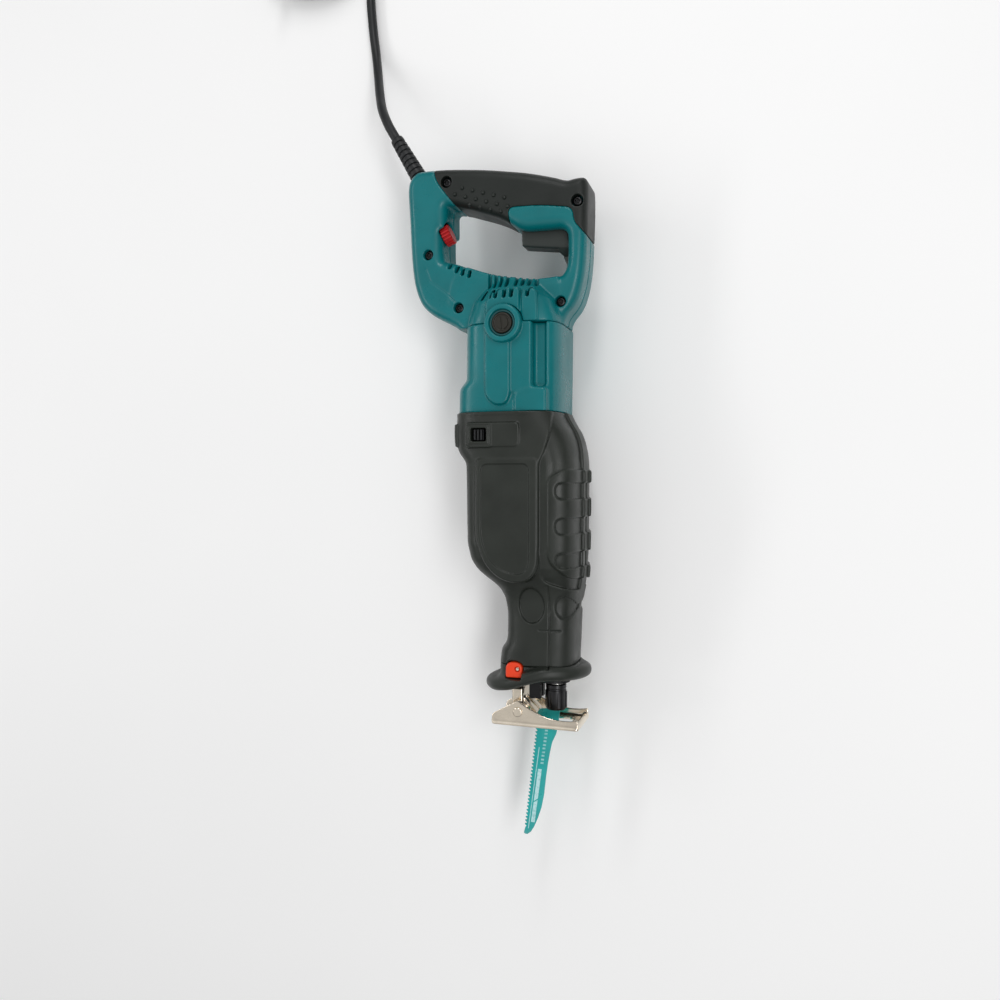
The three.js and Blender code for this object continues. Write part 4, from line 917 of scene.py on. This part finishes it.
def blade_material():
    n = Nodes("blade_lacquer")
    split = n.add("ShaderNodeSeparateXYZ")
    n.link(n.where, split.inputs[0])
    base_x, base_y = ORIGIN.x, ORIGIN.y
    x = n.math("SUBTRACT", split.outputs[0], base_x)
    y = n.math("SUBTRACT", split.outputs[1], base_y)
    # a pale printed wedge along the front half, one thin line beside it, bare steel at the tooth tips
    middle = n.math("ADD", n.math("MULTIPLY", n.math("SUBTRACT", x, 0.470), -0.135), 0.0215)
    off = n.math("SUBTRACT", y, middle)
    colour = (0.02, 0.43, 0.42)
    tint = n.ramp(n.noise(60, 4), (0.3, scaled(colour, 0.88)), (0.7, scaled(colour, 1.1)))

    def between(value, low, high, soft=0.0002):
        rise = n.add("ShaderNodeMapRange")
        fall = n.add("ShaderNodeMapRange")
        for node, a, b in ((rise, low - soft, low + soft), (fall, high + soft, high - soft)):
            n.link(value, node.inputs[0])
            node.inputs[1].default_value = a
            node.inputs[2].default_value = b
        return n.math("MULTIPLY", rise.outputs[0], fall.outputs[0])

    wedge = n.math("MULTIPLY", between(x, 0.519, 0.566), between(off, -0.0011, 0.0022))
    gap = between(n.math("ADD", x, n.math("MULTIPLY", off, 0.8)), 0.5466, 0.5478)
    wedge = n.math("MULTIPLY", wedge, n.math("SUBTRACT", 1.0, gap))
    line = n.math("MULTIPLY", between(x, 0.500, 0.572), between(off, -0.0030, -0.0023))
    dashes = n.math("PINGPONG", x, 0.0032)
    marks = n.math("MULTIPLY", between(x, 0.479, 0.515), between(off, 0.0004, 0.0030))
    marks = n.math("MULTIPLY", marks, between(dashes, 0.0007, 0.0023))
    print_mask = n.math("MAXIMUM", n.math("MAXIMUM", wedge, n.math("MULTIPLY", line, 0.8)),
        n.math("MULTIPLY", marks, 0.6))
    worn = n.math("MULTIPLY", print_mask, n.ramp(n.noise(420, 4), (0.32, 0.55), (0.5, 1.0)))
    tint = n.mix(worn, tint, (0.58, 0.88, 0.90))
    edge = n.add("ShaderNodeNewGeometry").outputs["Pointiness"]
    tint = n.mix(n.math("MULTIPLY", n.ramp(edge, (0.54, 0.0), (0.62, 1.0)), 0.6), tint, (0.45, 0.5, 0.5))
    normal = n.bump(n.noise(900, 3, 0.6, (1, 6, 1)), 0.00002, 0.4)
    return n.finish(tint, n.ramp(n.noise(90, 4), (0.3, 0.26), (0.7, 0.42)), 0.35, normal)


def blade():
    work = bmesh.new()
    extruded(work, blade_points(), -0.65, 0.65, Matrix.Identity(4))
    piece = mesh_object("blade_body", work, 0.12, 2)
    put(piece, "plunger", blade_material(), "blade_paint", "blade")


# ---- Shoe ----------------------------------------------------------------------------------------
def shoe():
    f = Field((453, -24, -23.5), (479.5, 55, 23.5), STEP * 0.5)
    ear = f.outline([
        (475.6, -21.5, 2.5), (475.6, 53.2, 2.5), (468.3, 53.2, 1.2), (469.4, 46, 6), (469.6, 37, 8),
        (467.6, 25, 8), (462.4, 12.5, 8), (458, 4.5, 3),
        (455.2, 1.4, 2.5), (457.6, -2.6, 4), (468.2, -21.6, 2.5)])
    ears = np.minimum(prism(ear, f.z, 19.4, 21.3, 0.5), prism(ear, f.z, -21.3, -19.4, 0.5))
    face = prism(flat_distance(f.y, f.z, cubic_outline([(-21.5, -21.3, 4), (53.2, -21.3, 4),
        (53.2, 21.3, 4), (-21.5, 21.3, 4)])), f.x, 474.6, 477, 0.7)
    rim = prism(flat_distance(f.y, f.z, cubic_outline([(-22, -22.2, 4), (53.7, -22.2, 4), (53.7, 22.2, 4),
        (-22, 22.2, 4)])), f.x, 475.2, 477, 0.85)
    face = np.minimum(face, rim)
    window = prism(flat_distance(f.y, f.z, cubic_outline([(-3, -10.8, 4), (43.5, -10.8, 6), (43.5, 10.8, 6),
        (-3, 10.8, 4)])), f.x, 460, 490)
    body = smooth_min(face, ears, 1.8)
    # rolled ends that tie the two side plates together
    for y in (-21.2, 52.9):
        roll = np.hypot(f.x - 474.4, f.y - (y + (1.4 if y < 0 else -1.4))) - 2.2
        body = smooth_min(body, prism(roll, f.z, -20.6, 20.6, 0.6), 1.2)
    body = carve(body, window, 0.8)
    body = np.maximum(body, -f.rod("z", 465.1, 1.5, 2.75, -40, 40))
    piece = f.mesh("shoe_plate", body)
    put(piece, "shoe", PLATED, "shoe_steel", "shoe")


def shoe_arm():
    f = Field((384, -9, -20), (471, 16, 20), STEP * 0.6)
    bar = box3(f, 386, 456, -3.8, 1.8, -8.8, 8.8, 0.8)
    knuckle = f.rod("z", 465.1, 1.5, 6, -18.9, 18.9, 0.8)
    neck = box3(f, 447, 462, -6.6, 3, -12, 12, 1.6)
    u = (f.x - 455.5) * 0.7071 + (f.y - 0.5) * 0.7071
    v = (f.y - 0.5) * 0.7071 - (f.x - 455.5) * 0.7071
    tab = overlap(np.abs(u - 9.5) - 9.5, np.abs(v - 1.1) - 1.1, np.abs(f.z) - 9)
    body = smooth_min(smooth_min(bar, neck, 2), knuckle, 2)
    body = smooth_min(body, tab, 1.2)
    body = carve(body, box3(f, 450, 490, 3.4, 30, -2.5, 2.5), 0.6)
    for z in (-14, 14):
        body = carve(body, np.maximum(np.abs(f.z - z) - 0.9, np.hypot(f.x - 465.1, f.y - 1.5) * -1 + 4.6),
            0.5)
    body = np.maximum(body, -f.rod("z", 465.1, 1.5, 2.75, -40, 40))
    piece = f.mesh("shoe_bracket", body)
    put(piece, "shoe_arm", PLATED, "shoe_steel", "shoe_arm")
    piece = turned_piece("shoe_rivet", 0.12, [(0, -22.7), (3.2, -22.7), (3.9, -22.3), (3.9, -21.7),
        (2.5, -21.6), (2.5, 21.6), (3.9, 21.7), (3.9, 22.3), (3.3, 22.7), (0, 22.75)],
           facing((465.1, 1.5, 0), (0, 0, 1)), 48)
    put(piece, "shoe_arm", PLATED, "shoe_steel", "shoe_pin")


# ---- Cord ----------------------------------------------------------------------------------------
LEAD_R = 4.25
COIL = (-264.0, -222.0)
TURN, LAYER = 48.0, 8.5
EXIT = Vector((11, -90.5, 0))
OUT = Vector((-0.857, -0.515, 0)).normalized()
GUARD = 54.0
BENCH = (FLOOR - ORIGIN.z) / MM
LOW = BENCH + LEAD_R + 0.2
COIL_LOW = BENCH + 1.5 + LEAD_R


def spline(points, spacing):
    """A smooth path through points, sampled about every spacing millimetres."""
    points = [Vector(p) for p in points]
    ends = [2 * points[0] - points[1], *points, 2 * points[-1] - points[-2]]
    made = []
    for a, b, c, d in zip(ends, ends[1:], ends[2:], ends[3:]):
        steps = max(1, round((c - b).length / spacing))
        for i in range(steps):
            t = i / steps
            made.append(0.5 * ((2 * b) + (c - a) * t + (2 * a - 5 * b + 4 * c - d) * t * t
                + (3 * b - a - 3 * c + d) * t ** 3))
    return made + [points[-1]]


def smooth_step(t):
    t = min(1.0, max(0.0, t))
    return t * t * (3 - 2 * t)


def lead_route():
    edge = COIL[1] + TURN + LAYER
    route = [EXIT + OUT * d for d in (14, 34, GUARD + 1, GUARD + 14)]
    route += [(-66, -135.5, -7), (-88, -145, -21), (-112, -153, -34), (-136, -159, -42), (-160, -163, LOW),
              (-190, edge, LOW), (-225, edge, LOW)]
    # the turns: three beside each other on the bench, then back inwards on top of them, and so on
    lanes = [(TURN + LAYER, 0), (TURN, 0), (TURN - LAYER, 0), (TURN - LAYER, 1), (TURN, 1),
        (TURN + LAYER, 1), (TURN + LAYER, 2)]
    turns = 6.0
    steps = 20
    for k in range(int(turns * steps) + 1):
        t = k / steps
        lane = min(int(t), len(lanes) - 1)
        nxt = min(lane + 1, len(lanes) - 1)
        share = smooth_step((t - lane - 0.72) / 0.28)
        r = lanes[lane][0] + (lanes[nxt][0] - lanes[lane][0]) * share
        h = lanes[lane][1] + (lanes[nxt][1] - lanes[lane][1]) * share
        a = math.pi / 2 + 2 * math.pi * t
        route.append((COIL[0] + r * math.cos(a), COIL[1] + r * math.sin(a), COIL_LOW + h * LAYER))
    for k in range(1, 12):
        share = k / 11
        a = math.radians(90 + (222 - 90) * share)
        r = TURN + LAYER + 24 * smooth_step(share)
        top = COIL_LOW + 2 * LAYER
        down = top + (LOW - top) * smooth_step(share / 0.75) + 8.5 * smooth_step((share - 0.72) / 0.28)
        route.append((COIL[0] + r * math.cos(a), COIL[1] + r * math.sin(a), down))
    return route


def lead():
    route = spline(lead_route(), 6)
    data = bpy.data.curves.new("lead", "CURVE")
    data.dimensions = "3D"
    data.bevel_depth = LEAD_R * MM
    data.bevel_resolution = 6
    data.use_fill_caps = True
    line = data.splines.new("POLY")
    line.points.add(len(route) - 1)
    for point, place in zip(line.points, route):
        point.co = (*at(*place), 1)
    line.use_smooth = True
    piece = bpy.data.objects.new("lead", data)
    bpy.context.scene.collection.objects.link(piece)
    put(piece, "housing", LEAD, "cord_rubber", "cord_run", "cord_coil", "cord_tail")
    length = sum((b - a).length for a, b in zip(route, route[1:])) * MM
    return piece, route, length


def lead_guard():
    work = bmesh.new()
    profile = [(0, -13.5), (7.6, -13.5), (7.9, -13), (7.9, 3)]
    z = 3.0
    while z < GUARD - 4:
        r = 7.9 - 2.1 * z / GUARD
        profile += [(r, z), (r, z + 2.6), (r - 1.15, z + 3.1), (r - 1.2, z + 4.6)]
        z += 5.1
    profile += [(5.9, GUARD - 2.4), (5.7, GUARD - 0.8), (5.1, GUARD), (4.5, GUARD), (4.4, GUARD - 3),
        (0, GUARD - 3)]
    turned(work, profile, facing(EXIT, OUT), 40)
    piece = mesh_object("lead_guard", work, 0.3)
    put(piece, "housing", LEAD, "cord_rubber", "cord_guard")
    return piece


def lead_plug(route):
    end, heading = route[-1], (route[-1] - route[-3]).normalized()
    heading.z = 0
    heading.normalize()
    side = Vector((-heading.y, heading.x, 0))
    work = bmesh.new()
    sections = [(0, 5.4, 5.4, 2), (3, 6.0, 6.0, 2), (6, 5.2, 5.2, 2), (9, 6.3, 6.3, 2), (12, 5.8, 5.8, 2),
        (15, 7.4, 7.4, 2.2), (19, 13, 10.6, 2.8),
                (26, 15.4, 11.6, 3.2), (38, 17.2, 12.3, 3.8), (47, 17.5, 12.4, 4), (50, 17.1, 12.0, 4),
                (50.6, 15, 10, 4)]
    sides = 48
    rings = []
    for x, a, b, n in sections:
        ring = []
        for i in range(sides):
            t = 2 * math.pi * i / sides
            u = math.copysign(abs(math.cos(t)) ** (2 / n), math.cos(t)) * a
            v = math.copysign(abs(math.sin(t)) ** (2 / n), math.sin(t)) * b
            ring.append(work.verts.new(at(*(end + heading * (x + 1.6) + side * u + Vector((0, 0, v))))))
        rings.append(ring)
    skin(work, rings)
    body = mesh_object("lead_plug", work, 0.4)
    put(body, "housing", BLACK, "black_plastic", "plug")
    pins = bmesh.new()
    for y in (-9.5, 9.5):
        start = end + heading * 51.5 + side * y
        turned(pins, [(0, -1.5), (2.4, -1.5), (2.4, 17.4), (1.7, 19), (0, 19.3)], facing(start, heading), 28)
    blades = mesh_object("lead_plug_pins", pins, 0.1)
    put(blades, "housing", STEEL, "bare_steel")
    return body, blades


def lead_tie():
    inner, outer = TURN - 1.5 * LAYER - 0.2, TURN + 1.5 * LAYER + 0.2
    low, high = BENCH + 0.15, COIL_LOW - LEAD_R + 3 * LAYER + 0.2 + 1.4
    work = bmesh.new()
    turn = Matrix.Translation(Vector((COIL[0], COIL[1], 0))) @ Matrix.Rotation(-0.6, 4, "Z")
    path = cubic_outline([(inner - 2.0, low, 5), (outer + 1.2, low, 5), (outer + 1.2, high, 8),
        (inner - 2.0, high, 8)], 8)
    inside = path.mean(0) + (path - path.mean(0)) * np.array([(outer - inner + 0.8) / (outer - inner + 3.2),
        (high - low - 2.4) / (high - low)])
    rings = []
    for p, q in zip(path, inside):
        corners = ((p, -5.5), (p, 5.5), (q, 5.5), (q, -5.5))
        rings.append([work.verts.new(at(*(turn @ Vector((c[0], w, c[1]))))) for c, w in corners])
    skin(work, rings + rings[:1], ends=False)
    piece = mesh_object("lead_tie", work, 0.3)
    put(piece, "housing", BLACK, "black_plastic", "cord_tie")
    return piece


def cord():
    piece, route, length = lead()
    guard = lead_guard()
    body, pins = lead_plug(route)
    tie = lead_tie()
    print("lead", round(length, 3))


cord()

# ---- Carried-over CAD pieces ---------------------------------------------------------------------
KEPT = {
    STEEL: ["trigger_pin", "rear_bearing", "front_bearing", "armature_shaft", "crank_gear", "crank_shaft",
    "crank_pin",
            "crank_bearing_upper", "crank_bearing_lower", "plunger", "clamp_pin", "guide_sleeve",
            "housing_screw_1", "housing_screw_2", "housing_screw_3", "housing_screw_4"],
    CASE: ["gear_housing"],
    ALUMINIUM: ["gear_housing_cover"],
    LAMINATED: ["field_stator", "armature_core", "counterweight"],
    COPPER: ["commutator"],
    CARBON: ["carbon_brush_right", "carbon_brush_left"],
    BLACK: ["switch_unit", "speed_controller", "cord_clamp", "cooling_fan", "brush_holder_right",
    "brush_holder_left"],
    RUBBER: ["dust_seal"],
}


def dress_kept():
    for material, nodes in KEPT.items():
        for name in nodes:
            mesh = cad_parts[name].data
            mesh.materials.clear()
            mesh.materials.append(material)


dress_kept()


# ---- Floor and light -----------------------------------------------------------------------------
def area(name, place, target, size, power, colour=(1, 1, 1)):
    data = bpy.data.lights.new(name, "AREA")
    data.shape = "RECTANGLE"
    data.size, data.size_y = size
    data.energy = power
    data.color = colour
    lamp = bpy.data.objects.new(name, data)
    bpy.context.scene.collection.objects.link(lamp)
    lamp.location = place
    lamp.rotation_euler = (Vector(target) - Vector(place)).to_track_quat("-Z", "Y").to_euler()


SKY = ((0.0, 0.05), (0.25, 0.2), (0.55, 0.55), (0.8, 0.9), (0.93, 0.6), (1.0, 0.45))


def studio():
    work = bmesh.new()
    for x, y in ((-3, -3), (3, -3), (3, 3), (-3, 3)):
        work.verts.new((x, y, FLOOR - 0.0004))
    work.faces.new(work.verts)
    floor = mesh_object("floor", work)
    n = Nodes("pale_floor")
    tone = n.ramp(n.noise(3, 2), (0.3, (0.965, 0.965, 0.965)), (0.7, (0.98, 0.98, 0.98)))
    floor.data.materials.append(n.finish(tone, 0.6))
    world = bpy.data.worlds.new("studio")
    world.use_nodes = True
    tree = world.node_tree
    back = tree.nodes["Background"]
    where = tree.nodes.new("ShaderNodeTexCoord")
    split = tree.nodes.new("ShaderNodeSeparateXYZ")
    ramp = tree.nodes.new("ShaderNodeValToRGB")
    tree.links.new(where.outputs["Generated"], split.inputs[0])
    tree.links.new(split.outputs[2], ramp.inputs["Fac"])
    tree.links.new(ramp.outputs["Color"], back.inputs["Color"])
    elements = ramp.color_ramp.elements
    while len(elements) < len(SKY):
        elements.new(0.5)
    for element, (place, tone) in zip(elements, SKY):
        element.position = place
        element.color = (tone, tone, tone, 1)
    back.inputs["Strength"].default_value = 0.85
    bpy.context.scene.world = world
    aim = centre("field_stator")
    area("key", aim + Vector((0.25, 0.85, 1.35)), aim + Vector((0.08, 0, 0)), (1.3, 0.36), 8.0)
    area("side", aim + Vector((-0.1, -1.35, 0.9)), aim + Vector((0.05, 0, 0)), (1.5, 0.2), 5.0)
    area("back", aim + Vector((-1.25, 0.1, 0.95)), aim, (0.25, 0.9), 5.0)
    bpy.context.scene.view_settings.view_transform = "Standard"
    bpy.context.scene.view_settings.look = "None"


handle()
motor()
boot()
front_guard()
trigger()
dial()
screws()
brush_caps()
controls()
clamp()
blade()
shoe()
shoe_arm()
studio()
